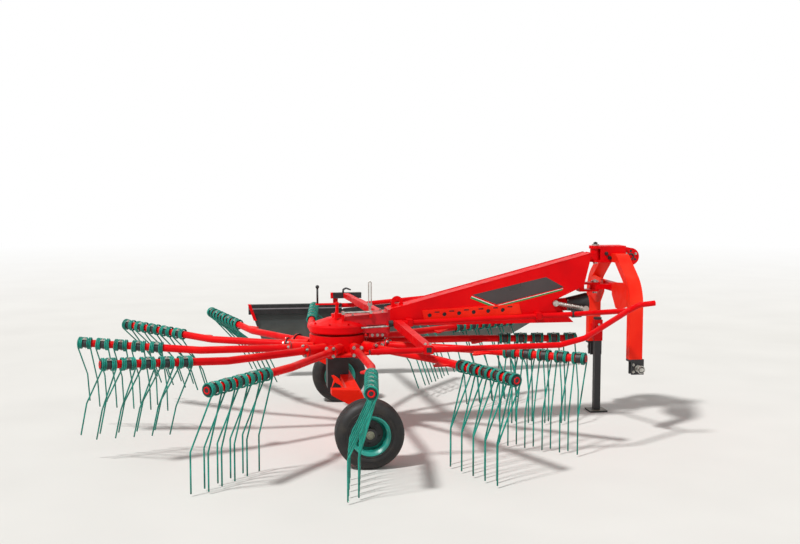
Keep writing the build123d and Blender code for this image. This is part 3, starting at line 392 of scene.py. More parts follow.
def label_film(name, base, edge):
    """Printed vinyl film: smooth and even, faded a little in the sun."""
    made, tree, shader, place, colour = new_finish(
        name, (140.0, 2.0), (0.3, edge), (0.6, base), IOR=1.5, Coat_Weight=0.4,
        Coat_Roughness=0.12,
    )
    surface(tree, shader, place, colour, (140.0, 2.0, 0.24, 0.36))
    return made


def make_finishes():
    """Every finish once, by its plain name."""
    colours = bpy.context.scene.rake_finishes
    return {
        "frame": powder_coat("red_powder_coat", colours.red, "c60009", "ea0b0c", 0.02),
        "arms": powder_coat("red_arm_coat", "df050d", "c4020c", "ee1512", 0.10),
        # The racks' own orange-red, and a sunlit copy of the frame's red as painted light on the
        # headstock, gussets and axle
        "racks_and_sunlit": powder_coat("red_rack_and_sunlit_coat", colours.rack_sunlit_red, "e0180e", "fa3a22", 0.03),
        "gear": cast_iron_coat("red_cast_iron", "d41a24", "ae0a18"),
        "spring": spring_lacquer(),
        "rim": rim_lacquer(),
        "graphite": graphite_coat(colours.graphite),
        "zinc": zinc_plate(),
        "rubber": tyre_rubber(),
        "cloth": curtain_cloth(colours.cloth),
        "plastic": moulded_plastic(),
        "label": label_film("dark_label_film", "372d2e", "2c2526"),
        "white": label_film("white_label_film", "eceae4", "d9d6ce"),
        "green": label_film("green_label_film", "0f8a3c", "0c7433"),
        "strip": label_film("grey_edge_strip", "8a8488", "6f6a6e"),
        "hubcap": cast_iron_coat("grey_hub_cap", "7a7968", "504e42"),
    }


FINISH = {}

NODE_FINISH = {
    "frame": (
        "boom", "cam_housing", "headstock_top_box", "headstock_crosshead", "stand_sleeve",
        "side_guard", "cross_beam", "lift_eye", "height_crank",
    ),
    "arms": ("tine_arms", "rotor_hub"),
    # The racks wear their own orange-red; the headstock frame, gussets, axle beam and stub axles
    # take it as painted light for their sunlit faces
    "racks_and_sunlit": (
        "arm_racks", "headstock_frame", "headstock_gussets", "axle_beam", "stub_axle_left",
        "stub_axle_right",
    ),
    "gear": ("gear_housing",),
    "rim": ("rim_left", "rim_right"),
    "graphite": (
        "centre_column", "hinge_clamps", "hitch_bracket_left", "hitch_bracket_right",
        "stand_leg", "curtain_arm", "curtain_rail",
    ),
    "zinc": ("lock_handle", "stabilisers", "drive_shaft", "swivel_pins", "hitch_pins"),
    "plastic": ("guard_bowl",),
    "rubber": ("tyre_left", "tyre_right"),
    "cloth": ("curtain_cloth",),
    "spring": tuple("tines_%02d" % number for number, _ in CAM_LIFT),
}


def at(x, y, z):
    """A place counted from the rotor's axis on the floor."""
    return Vector((x, y, z)) + ROTOR_AXIS


def arm_place(number, lift):
    """Frame of an arm: X along its inner part, Z up until the cam turns it back."""
    tines = bpy.context.scene.rake_tines
    heading = tines.first_arm + (number - 1) * math.tau / len(CAM_LIFT)
    return (
        Matrix.Translation(at(0, 0, tines.arm_height))
        @ Matrix.Rotation(heading, 4, "Z")
        @ Matrix.Translation((0, tines.arm_offset, 0))
        @ Matrix.Rotation(-math.radians(lift), 4, "X")
    )


def outer_place(number, lift):
    """Frame of an arm's swept outer part, from its bend."""
    tines = bpy.context.scene.rake_tines
    return (
        arm_place(number, lift)
        @ Matrix.Translation((tines.bend, 0, 0))
        @ Matrix.Rotation(-tines.sweep, 4, "Z")
    )


def along(start, end):
    """Frame at a start point whose Z runs to an end point."""
    run = Vector(end) - Vector(start)
    return Matrix.Translation(start) @ run.to_track_quat("Z", "Y").to_matrix().to_4x4()


def level_place(spot, run):
    """Frame at a place whose Z follows a run and whose X lies level."""
    run = run.normalized()
    level = Vector((-run.y, run.x, 0)).normalized()
    turned = Matrix((level, run.cross(level), run)).transposed()
    return Matrix.Translation(spot) @ turned.to_4x4()


def crosswise(spot):
    """Frame at a place whose Z points across the machine."""
    return Matrix.Translation(spot) @ Matrix.Rotation(math.pi / 2, 4, "X")


def spots_round(centre, radius, *degrees):
    """Places on a circle round a crosswise axis."""
    for angle in map(math.radians, degrees):
        yield centre + Vector((radius * math.cos(angle), 0, radius * math.sin(angle)))


def add_bar(bm, start, end, radius, sides=16, far_radius=None):
    """A round bar or cone between two points."""
    run = (Vector(end) - Vector(start)).length
    bmesh.ops.create_cone(
        bm, cap_ends=True, segments=sides, radius1=radius,
        radius2=radius if far_radius is None else far_radius, depth=run,
        matrix=along(start, end) @ Matrix.Translation((0, 0, run / 2)),
    )


def add_block(bm, low, high, place=None):
    """A block between two opposite corners, in the frame of a place."""
    low, high = Vector(low), Vector(high)
    size = high - low
    matrix = Matrix.Translation((low + high) / 2) @ Matrix.Diagonal((*size, 1.0))
    bmesh.ops.create_cube(bm, size=1.0, matrix=(place or Matrix.Identity(4)) @ matrix)


def add_plate(bm, corners, thick):
    """A flat plate: its outline's corners, pushed out by a vector."""
    verts = [bm.verts.new(corner) for corner in corners]
    face = bmesh.ops.contextual_create(bm, geom=verts)["faces"]
    pushed = bmesh.ops.extrude_face_region(bm, geom=face)["geom"]
    moved = [part for part in pushed if isinstance(part, bmesh.types.BMVert)]
    bmesh.ops.translate(bm, verts=moved, vec=thick)


def add_ball(bm, spot, radius, segments):
    """A ball at a place."""
    bmesh.ops.create_uvsphere(
        bm, u_segments=segments, v_segments=12, radius=radius, matrix=Matrix.Translation(spot)
    )


def add_bolt(bm, foot, axis, flats=0.013, height=0.006, washer=True):
    """A hexagon head on its washer, standing on a foot point along an axis."""
    foot, axis = Vector(foot), Vector(axis).normalized()
    base = foot
    if washer:
        base = foot + axis * 0.0022
        add_bar(bm, foot, base, flats * 0.72, 14)
    add_bar(bm, base, base + axis * height, flats * 0.577, 6)
    add_bar(bm, base + axis * height, base + axis * (height + 0.003), flats * 0.30, 8)


def add_ring(bm, place, radius, thick, steps=24, sides=8):
    """A round ring about the Z axis of a place."""
    made = bmesh.ops.create_circle(
        bm, segments=sides, radius=thick, matrix=place @ crosswise((radius, 0, 0))
    )
    edges = {edge for vert in made["verts"] for edge in vert.link_edges}
    bmesh.ops.spin(
        bm, geom=list(edges), cent=place.translation, axis=place.to_3x3() @ Vector(UP),
        dvec=(0, 0, 0), angle=math.tau, steps=steps, use_merge=True,
    )


def finish_piece(bm, name, body, finish, smooth=False, crease=False, bevel=0.0, place=None):
    """Closes a bmesh into a piece that rides on a body and has its finish."""
    bmesh.ops.remove_doubles(bm, verts=bm.verts, dist=0.00002)
    bmesh.ops.recalc_face_normals(bm, faces=bm.faces)
    if place is not None:
        bm.transform(place)
    for face in bm.faces:
        face.smooth = smooth
    mesh = bpy.data.meshes.new(name)
    bm.to_mesh(mesh)
    bm.free()
    if crease:
        mesh.set_sharp_from_angle(angle=math.radians(50.0))
    mesh.materials.append(FINISH[finish])
    piece = bpy.data.objects.new(name, mesh)
    bpy.context.collection.objects.link(piece)
    if bevel:
        rounded = piece.modifiers.new("rounded_edges", "BEVEL")
        rounded.width = bevel
        rounded.segments = 2
        rounded.limit_method = "ANGLE"
        rounded.angle_limit = math.radians(40.0)
    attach(piece, body)
    return piece


# The photograph's camera: where it stands, and how far it looks down and to the right
CAMERA_PLACE = (-0.634, -6.966, 1.679)
CAMERA_DOWN, CAMERA_RIGHT = 0.087, 0.151
CAMERA_LENS_MM, CAMERA_SENSOR_MM = 47.37, 36.0


class RAKE_OT_camera(bpy.types.Operator):
    """Places the camera at the photograph's angle"""

    bl_idname = "rake.camera"
    bl_label = "Camera"

    def execute(self, context):
        lens = bpy.data.cameras.new("rake_camera")
        lens.lens = CAMERA_LENS_MM
        lens.sensor_width = CAMERA_SENSOR_MM
        lens.clip_end = 200.0
        camera = bpy.data.objects.new("rake_camera", lens)
        camera.location = at(*CAMERA_PLACE)
        camera.rotation_euler = (math.pi / 2 - CAMERA_DOWN, 0.0, -CAMERA_RIGHT)
        context.collection.objects.link(camera)
        context.scene.camera = camera
        return {"FINISHED"}


class RAKE_OT_finishes(bpy.types.Operator):
    """Makes the finishes and gives each CAD node its own"""

    bl_idname = "rake.finishes"
    bl_label = "Finishes"

    def execute(self, context):
        FINISH.update(make_finishes())
        dressed = set()
        for finish, names in NODE_FINISH.items():
            for name in names:
                dressed.add(name)
                for place in NODES[name].material_slots:
                    place.material = FINISH[finish]
        bare = sorted(set(NODES) - dressed)
        if bare:
            raise RuntimeError("nodes without a finish: " + ", ".join(bare))
        return {"FINISHED"}


def pull(bm, edges, step):
    """Draws a wire's open end straight on, and returns its new end."""
    made = bmesh.ops.extrude_edge_only(bm, edges=edges)["geom"]
    verts = [part for part in made if isinstance(part, bmesh.types.BMVert)]
    bmesh.ops.translate(bm, verts=verts, vec=step)
    moved = set(verts)
    return [
        part for part in made
        if isinstance(part, bmesh.types.BMEdge) and set(part.verts) <= moved
    ]


def turn(bm, edges, centre, axis, angle, steps, advance=(0, 0, 0)):
    """Winds a wire's open end about an axis, advancing at each step, and returns its end."""
    made = bmesh.ops.spin(
        bm, geom=edges, cent=centre, axis=axis, dvec=advance, angle=angle, steps=steps,
        use_merge=False,
    )["geom_last"]
    return [part for part in made if isinstance(part, bmesh.types.BMEdge)]


def wire_end(bm, radius, sides, place):
    """The edges of a wire's round end in the XY plane of a place."""
    made = bmesh.ops.create_circle(
        bm, cap_ends=True, segments=sides, radius=radius, matrix=place
    )
    return list({edge for vert in made["verts"] for edge in vert.link_edges})


def wind_half_tine(bm, station, slant, toward):
    """One prong and its coil, from the tip up, wound toward the double tine's middle."""
    tines = bpy.context.scene.rake_tines
    half = tines.wire / 2
    reach = tines.coil_radius - half
    turns = 2.0 + (math.pi / 2 + slant) / math.tau
    pitch = tines.wire * 1.03
    start_x = station - toward * pitch * turns / 2
    lean = Vector((0, math.sin(slant), math.cos(slant)))
    top = Vector((start_x, reach * math.cos(slant), -reach * math.sin(slant)))
    knee = top - lean * tines.slant_run
    tip_z = tines.tip_height - tines.arm_height
    tip_run, knee_radius, lead = 0.10, 0.030, 0.008
    cut = knee_radius * math.tan(slant / 2)
    end = wire_end(
        bm, half, tines.wire_sides, Matrix.Translation((start_x, knee.y, tip_z))
    )
    end = pull(bm, end, (0, 0, tip_run))
    end = pull(bm, end, (0, 0, knee.z - cut - tip_z - tip_run))
    end = turn(
        bm, end, (start_x, knee.y + knee_radius, knee.z - cut), (1, 0, 0), -slant, 3
    )
    end = pull(bm, end, lean * (tines.slant_run - cut))
    steps = round(14 * turns)
    end = turn(
        bm, end, (start_x, 0, 0), (1, 0, 0), math.tau * turns, steps,
        (toward * pitch * turns / steps, 0, 0),
    )
    last_x = start_x + toward * pitch * turns
    end = turn(bm, end, (last_x + toward * lead, 0, reach), UP, toward * math.pi / 2, 3)
    middle = station + toward * tines.coil_pitch / 2
    pull(bm, end, (middle - last_x - toward * lead, 0, 0))


class RAKE_OT_tines(bpy.types.Operator):
    """Winds each arm's double tines from round spring wire"""

    bl_idname = "rake.tines"
    bl_label = "Spring tines"

    def execute(self, context):
        tines = context.scene.rake_tines
        pattern = bmesh.new()
        for index in range(tines.double_tines):
            station = tines.first_coil + index * 2 * tines.coil_pitch
            wind_half_tine(pattern, station, tines.inner_slant, 1)
            wind_half_tine(pattern, station + tines.coil_pitch, tines.outer_slant, -1)
        wear = pattern.verts.layers.float.new("wear")
        tip_z = tines.tip_height - tines.arm_height
        worn_length = 0.16
        for vert in pattern.verts:
            vert[wear] = min(1.0, max(0.0, 1.0 - (vert.co.z - tip_z) / worn_length))
        for number, lift in CAM_LIFT:
            piece = finish_piece(
                pattern.copy(), "wound_tines_%02d" % number, "rotor", "spring",
                smooth=True, place=outer_place(number, lift),
            )
            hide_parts("tines_%02d" % number)
        pattern.free()
        return {"FINISHED"}


def arm_fittings(tines):
    """What an arm's outer part carries: dark holders and saddles, whose black also stands in as
    painted shade between the coils and on the arm's end, clamp plates, bolts and its end ring.
    """
    holder_and_shade, plates, bolts, end = (bmesh.new() for _ in range(4))
    shade_sleeve = tines.arm_radius + 0.0052
    long, wide, saddle, top = 0.0145, 0.015, 0.0325, 0.0360
    for index in range(tines.double_tines):
        middle = tines.first_coil + (2 * index + 0.5) * tines.coil_pitch
        rear, front = middle - long, middle + long
        # The dark sleeve between each pair's coils is a holder and also painted shade on the tube
        add_bar(holder_and_shade, (middle - 0.0150, 0, 0), (middle + 0.0150, 0, 0), shade_sleeve, 24)
        add_block(holder_and_shade, (rear, -wide, tines.arm_radius), (front, wide, saddle))
        add_block(plates, (rear, 0.002 - wide, saddle), (front, wide - 0.002, top))
        add_bolt(bolts, (middle, 0, top), UP, height=0.0035, washer=False)
        add_bolt(bolts, (middle, 0, -0.0285), (0, 0, -1))
    tip = tines.first_coil + (2 * tines.double_tines - 1) * tines.coil_pitch + 0.017
    # The dark sleeve and disc at the arm's tip are painted shade on its end face
    add_bar(holder_and_shade, (tip - 0.014, 0, 0), (tip - 0.002, 0, 0), shade_sleeve, 24)
    add_bar(holder_and_shade, (tip - 0.001, 0, 0), (tip + 0.001, 0, 0), 0.0262, 24)
    lying = Matrix.Translation((tip, 0, 0)) @ Matrix.Rotation(math.pi / 2, 4, "Y")
    add_ring(end, lying, 0.0165, 0.0038, 28, 10)
    return holder_and_shade, plates, bolts, end


class RAKE_OT_arm_parts(bpy.types.Operator):
    """Holders and clamps of the tines, their black partly painted shade, the arms' end rings and
    the flanges' bolts
    """

    bl_idname = "rake.arm_parts"
    bl_label = "Arm parts"

    def execute(self, context):
        holder_and_shade, plates, bolts, end = arm_fittings(context.scene.rake_tines)
        flange, joint = bmesh.new(), bmesh.new()
        flange_x, circle = 0.330, 0.0335
        for angle in (math.radians(45 + 90 * index) for index in range(4)):
            spot = (flange_x, circle * math.cos(angle), circle * math.sin(angle))
            add_bolt(flange, spot, (1, 0, 0), 0.016, 0.009)
        add_bar(joint, (0.3165, 0, 0), (0.3205, 0, 0), 0.0439, 32)
        for number, lift in CAM_LIFT:
            inner, outer = arm_place(number, lift), outer_place(number, lift)
            for part, name, finish, place in (
                # The holders' black is partly painted shade between the coils and on the arm's end
                (holder_and_shade, "tine_holder_and_shade", "graphite", outer),
                (plates, "tine_clamps", "zinc", outer),
                (bolts, "tine_bolts", "zinc", outer),
                (end, "arm_end_ring", "arms", outer),
                (flange, "flange_bolts", "zinc", inner),
                (joint, "flange_joint", "graphite", inner),
            ):
                piece_name = "%s_%02d" % (name, number)
                finish_piece(part.copy(), piece_name, "rotor", finish, place=place)
        for part in (holder_and_shade, plates, bolts, end, flange, joint):
            part.free()
        return {"FINISHED"}


def wheel_centre(wheel, sign):
    """The middle of the wheel on a side."""
    return at(wheel.forward, sign * wheel.track_half, wheel.radius)


def tread_outline(wheel):
    """The rubber's outline from bead to bead: radius and place across, with ribs and grooves."""
    half = wheel.width / 2
    shoulder = half - 0.028
    side_wall = [
        (wheel.seat + 0.001, half - 0.026),
        (wheel.seat + 0.010, half - 0.014),
        (wheel.seat + 0.016, half - 0.012),
        (wheel.seat + 0.020, half - 0.006),
        (wheel.seat + 0.026, half - 0.004),
        (wheel.seat + 0.030, half - 0.0005),
        (wheel.seat + 0.048, half),
        (wheel.seat + 0.050, half - 0.003),
        (wheel.seat + 0.066, half - 0.004),
        (wheel.radius - 0.024, half - 0.009),
        (wheel.radius - 0.012, half - 0.017),
    ]
    tread = []
    pitch = 2 * shoulder / wheel.ribs
    for rib in range(wheel.ribs):
        start = shoulder - rib * pitch
        middle = start - pitch / 2
        crown = wheel.radius - 0.9 * middle * middle
        tread += [
            (crown - 0.0015, start - 0.0035),
            (crown, start - 0.0065),
            (crown, start - pitch + 0.0065),
            (crown - 0.0015, start - pitch + 0.0035),
        ]
        if rib < wheel.ribs - 1:
            tread += [
                (crown - 0.010, start - pitch + 0.0015),
                (crown - 0.010, start - pitch - 0.0015),
            ]
    return side_wall + tread + [(radius, -across) for radius, across in reversed(side_wall)]


class RAKE_OT_tyres(bpy.types.Operator):
    """Spins both ribbed tyres"""

    bl_idname = "rake.tyres"
    bl_label = "Tyres"

    def execute(self, context):
        wheel = context.scene.rake_wheels
        outline = tread_outline(wheel)
        for side, sign in SIDES:
            bm = bmesh.new()
            verts = [bm.verts.new((radius, across, 0)) for radius, across in outline]
            edges = [bm.edges.new(pair) for pair in zip(verts, verts[1:] + verts[:1])]
            bmesh.ops.spin(
                bm, geom=edges, cent=(0, 0, 0), axis=(0, 1, 0), dvec=(0, 0, 0),
                angle=math.tau, steps=wheel.steps, use_merge=True,
            )
            tyre = finish_piece(
                bm, "ribbed_tyre_" + side, "wheel_" + side, "rubber", smooth=True,
                crease=True, place=Matrix.Translation(wheel_centre(wheel, sign)),
            )
            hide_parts("tyre_" + side)
        return {"FINISHED"}


class RAKE_OT_wheel_parts(bpy.types.Operator):
    """Hub caps, dark discs in the dishes as painted shade, beads, rim lips, wheel bolts and valves
    """

    bl_idname = "rake.wheel_parts"
    bl_label = "Wheel parts"

    def execute(self, context):
        wheel = context.scene.rake_wheels
        # Places are counted from the wheel's middle, and Z is its axle, outwards
        for side, sign in SIDES:
            cap, shade_dish, bead, lip, bolts = (bmesh.new() for _ in range(5))
            add_bar(cap, (0, 0, 0.0545), (0, 0, 0.062), 0.025, 32, 0.023)
            add_bar(cap, (0, 0, 0.062), (0, 0, 0.069), 0.016, 32, 0.013)
            # A dark disc and barrel over the rim's dish: painted shade in its depth
            add_bar(shade_dish, (0, 0, 0.0105), (0, 0, 0.0135), 0.0800, 48, 0.036)
            add_bar(shade_dish, (0, 0, 0.012), (0, 0, 0.0552), 0.0388, 32)
            add_ring(bead, Matrix.Translation((0, 0, 0.0790)), 0.1250, 0.0045, 64, 12)
            add_ring(lip, Matrix.Translation((0, 0, 0.0780)), 0.1140, 0.0055, 64, 14)
            bolt_circle, bolt_count = 0.062, 5
            for index in range(bolt_count):
                angle = math.tau * (index + 0.75) / bolt_count
                spot = (bolt_circle * math.cos(angle), bolt_circle * math.sin(angle), 0.011)
                add_bolt(bolts, spot, UP, height=0.008)
            add_bar(bolts, (0.0, 0.086, -0.010), (0.0, 0.080, 0.034), 0.0042, 10)
            place = Matrix.Translation(wheel_centre(wheel, sign)) @ Matrix.Rotation(
                -sign * math.pi / 2, 4, "X"
            )
            for part, name, finish, smooth, bevel in (
                (cap, "hub_cap_", "hubcap", False, 0.0012),
                # The dish's dark graphite is painted shade
                (shade_dish, "wheel_dish_shade_", "graphite", False, 0.0),
                (bead, "tyre_bead_", "rubber", True, 0.0),
                (lip, "rim_lip_", "rim", True, 0.0),
                (bolts, "wheel_bolts_", "graphite", False, 0.0),
            ):
                finish_piece(
                    part, name + side, "wheel_" + side, finish, smooth=smooth, bevel=bevel,
                    place=place,
                )
        return {"FINISHED"}


BOOM_SIDE = 0.0902
# The label plate's corners on the boom's right side, along and up: rear, top, front, low
LABEL = ((0.905, 0.912), (1.413, 1.025), (1.541, 0.955), (1.071, 0.844))
# The boom's upper edge from its rear to its front, along and up
BOOM_RIDGE = ((0.347, 0.8225), (0.744, 0.9255), (1.733, 1.1825))


def rack_z(x):
    """Height of a rack's middle line."""
    return 0.777 + (x - 0.560) * 0.036 / 0.665


class RAKE_OT_boom_parts(bpy.types.Operator):
    """The bare label plate with its two edge lines, weld beads, dark discs and slots painted as
    shade in the rack holes, and front bolts
    """

    bl_idname = "rake.boom_parts"
    bl_label = "Boom parts"

    def execute(self, context):
        label, welds, hole_shade, bolts = (bmesh.new() for _ in range(4))
        add_plate(label, [at(x, -BOOM_SIDE, z) for x, z in LABEL], (0, -0.0008, 0))
        finish_piece(label, "label_plate", "chassis", "label")
        rear, _, front, low = (Vector(corner) for corner in LABEL)
        back = Vector((-0.55, -0.83))
        for line, inner, outer in (("white", 0.010, 0.015), ("green", 0.015, 0.028)):
            strip = bmesh.new()
            for start, end in ((rear, low), (low, front)):
                quad = (
                    start + back * inner, end + back * inner, end + back * outer,
                    start + back * outer,
                )
                add_plate(strip, [at(x, -BOOM_SIDE, z) for x, z in quad], (0, -0.0006, 0))
            finish_piece(strip, "label_line_" + line, "chassis", line)
        bead, hole_radius = 0.0032, 0.0136
        add_bar(welds, at(1.735, -0.036, 1.183), at(1.735, 0.036, 1.183), bead, 8)
        for side in (-1, 1):
            for start, end in zip(BOOM_RIDGE, BOOM_RIDGE[1:]):
                add_bar(
                    welds, at(start[0], side * 0.088, start[1]),
                    at(end[0], side * 0.088, end[1]), bead, 8,
                )
            # Black discs and slots behind the racks' holes and slots are painted shade inside them
            for x in (0.612 + 0.100 * index for index in range(6)):
                z = rack_z(x)
                add_bar(hole_shade, at(x, side * 0.0895, z), at(x, side * 0.0925, z), hole_radius, 20)
                slot = at(x + 0.050, side * 0.091, rack_z(x + 0.050) + 0.018)
                half = Vector((0.0165, 0.0015, 0.0042))
                add_block(hole_shade, slot - half, slot + half)
        for y in (-0.036, 0.036):
            for z in (0.858, 0.798):
                add_bolt(bolts, at(1.583, y, z), (1, 0, 0), 0.010, 0.004, False)
        finish_piece(welds, "boom_welds", "chassis", "frame", smooth=True)
        finish_piece(hole_shade, "rack_hole_shade", "chassis", "plastic")
        finish_piece(bolts, "boom_bolts", "chassis", "zinc")
        return {"FINISHED"}


# The lug at an axle plate's rear, seen from the side: along and up
AXLE_LUG = (
    (-0.092, 0.409), (-0.092, 0.488), (-0.078, 0.490), (-0.046, 0.468), (-0.078, 0.462),
    (-0.070, 0.446), (-0.014, 0.412),
)


class RAKE_OT_middle_parts(bpy.types.Operator):
    """Bolts, link rods, knob and covers on the cam and gear housings"""

    bl_idname = "rake.middle_parts"
    bl_label = "Middle parts"

    def execute(self, context):
        cover_bolts, bolts, lugs, foot = (bmesh.new() for _ in range(4))
        cover_circle = 0.160
        for angle in (math.tau * (index + 0.5) / 8 for index in range(8)):
            x, y = math.cos(angle), math.sin(angle)
            spot = at(cover_circle * x, cover_circle * y, 0.7335)
            add_bolt(cover_bolts, spot, (0.3 * x, 0.3 * y, 1))
        finish_piece(cover_bolts, "cover_bolts", "chassis", "frame")
        for side in (-1, 1):
            for x in (0.100, 0.300):
                z = 0.780 + (x - 0.050) * 0.024 / 0.282
                add_bolt(bolts, at(x, side * 0.060, z), (-0.085, 0, 1))
            for x in (0.228, 0.262, 0.296):
                add_bolt(bolts, at(x, side * 0.080, 0.652), (0, side, 0), 0.014, 0.008)
            add_plate(lugs, [at(x, side * 0.605, z) for x, z in AXLE_LUG], (0, side * 0.010, 0))
        finish_piece(bolts, "housing_bolts", "chassis", "zinc")
        # The lugs take the lighter sunlit red as painted light
        finish_piece(lugs, "axle_lugs", "chassis", "racks_and_sunlit")
        add_block(foot, at(0.205, -0.080, 0.636), at(0.331, 0.080, 0.670))
        add_block(foot, at(0.318, -0.088, 0.632), at(0.331, 0.088, 0.670))
        finish_piece(foot, "housing_foot", "chassis", "gear", bevel=0.002)
        rods, ears, grip, gasket = (bmesh.new() for _ in range(4))
        rod_radius, boss_radius = 0.0065, 0.012
        rear_boss, front_boss = at(0.031, -0.100, 0.807), at(0.215, -0.100, 0.811)
        add_bar(rods, rear_boss, front_boss, rod_radius, 12)
        add_bar(rods, at(0.150, -0.120, 0.707), at(0.330, -0.120, 0.716), rod_radius, 12)
        half = Vector((0, 0.006, 0))
        for boss in (rear_boss, front_boss):
            add_bar(rods, boss - half, boss + half, boss_radius)
        finish_piece(rods, "link_rods", "chassis", "zinc")
        for low, high in (
            ((0.023, -0.104, 0.738), (0.039, -0.083, 0.818)),
            ((0.207, -0.104, 0.772), (0.223, -0.083, 0.822)),
            ((-0.024, -0.090, 0.748), (-0.008, -0.072, 0.812)),
            ((0.318, -0.125, 0.700), (0.334, -0.088, 0.728)),
        ):
            add_block(ears, at(*low), at(*high))
        finish_piece(ears, "link_ears", "chassis", "frame", bevel=0.0015)
        crank_x, grip_low, grip_high = -0.130, 0.8625, 0.966
        add_bar(grip, at(crank_x, 0, grip_low), at(crank_x, 0, grip_high), 0.0068)
        add_ball(grip, at(crank_x, 0, grip_high + 0.006), 0.0126, 20)
        finish_piece(grip, "crank_grip", "chassis", "plastic", smooth=True)
        add_block(gasket, at(0.190, -0.0855, 0.718), at(0.331, 0.0855, 0.722))
        finish_piece(gasket, "housing_joint", "chassis", "graphite")
        return {"FINISHED"}


class RAKE_OT_springs(bpy.types.Operator):
    """Winds the stabilisers' pressure springs beside the boom's throat"""

    bl_idname = "rake.springs"
    bl_label = "Stabiliser springs"

    def execute(self, context):
        turns, turn_steps = 13, 14
        coil, wire = 0.0135, 0.0030
        for side, sign in SIDES:
            start, end = at(1.500, sign * 0.106, 0.842), at(1.668, sign * 0.106, 0.810)
            steps = turns * turn_steps
            bm = bmesh.new()
            turn(
                bm, wire_end(bm, wire, 8, crosswise((coil, 0, 0))), (0, 0, 0), UP,
                math.tau * turns, steps, (0, 0, (end - start).length / steps),
            )
            finish_piece(
                bm, "pressure_spring_" + side, "chassis", "zinc", smooth=True,
                place=along(start, end),
            )
        return {"FINISHED"}


# The side guard's hinge line, its crosswise bar and the bolted joint at that bar's end
HINGE_REAR, HINGE_FRONT = Vector((0.343, -0.135, 0.734)), Vector((1.605, -0.135, 0.774))
GUARD_BAR_ROOT, GUARD_BAR_TIP = Vector((0.388, -0.152, 0.735)), Vector((0.440, -1.030, 0.699))
GUARD_JOINT = (0.438, -0.994, 0.725)


class RAKE_OT_guard_parts(bpy.types.Operator):
    """Caps and clamps on the folding guard"""

    bl_idname = "rake.guard_parts"
    bl_label = "Guard parts"

    def execute(self, context):
        caps, bolts, straps = (bmesh.new() for _ in range(3))
        place = level_place(ROTOR_AXIS + GUARD_BAR_TIP, GUARD_BAR_TIP - GUARD_BAR_ROOT)
        add_block(caps, (-0.0150, -0.0150, -0.004), (0.0150, 0.0150, 0.0015), place)
        add_bar(caps, at(0.0935, -1.0, 0.690), at(0.100, -1.0, 0.6901), 0.0135, 24)
        rear, line = ROTOR_AXIS + HINGE_REAR, (HINGE_FRONT - HINGE_REAR).normalized()
        add_bar(caps, rear - line * 0.012, rear + line * 0.016, 0.0225, 24)
        add_bar(caps, at(1.583, -0.135, 0.7733), at(1.648, -0.135, 0.7754), 0.0235, 24)
        finish_piece(caps, "guard_caps", "guard", "plastic", bevel=0.0012)
        for side in (-1, 1):
            spot = at(*GUARD_JOINT) + Vector((side * 0.014, 0, 0))
            add_bolt(bolts, spot, UP, height=0.007)
        finish_piece(bolts, "guard_bolts", "guard", "zinc")
        for x in (0.470, 1.350):
            share = (x - HINGE_REAR.x) / (HINGE_FRONT.x - HINGE_REAR.x)
            z = HINGE_REAR.lerp(HINGE_FRONT, share).z
            add_block(straps, at(x - 0.020, -0.159, z - 0.024), at(x + 0.020, -0.0905, z + 0.024))
        strap = finish_piece(straps, "hinge_straps", "chassis", "frame", bevel=0.004)
        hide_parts("hinge_clamps")
        return {"FINISHED"}


# The headstock's own places: lower pins, top link, swivel and the parking stand's pin
LOWER_PIN_X, LOWER_PIN_Z = 1.940, 0.447
TOP_LINK_X, TOP_LINK_Z = 2.030, 1.154
SWIVEL_X = 1.790
STAND_PIN_X, STAND_PIN_Z = 1.925, 0.640


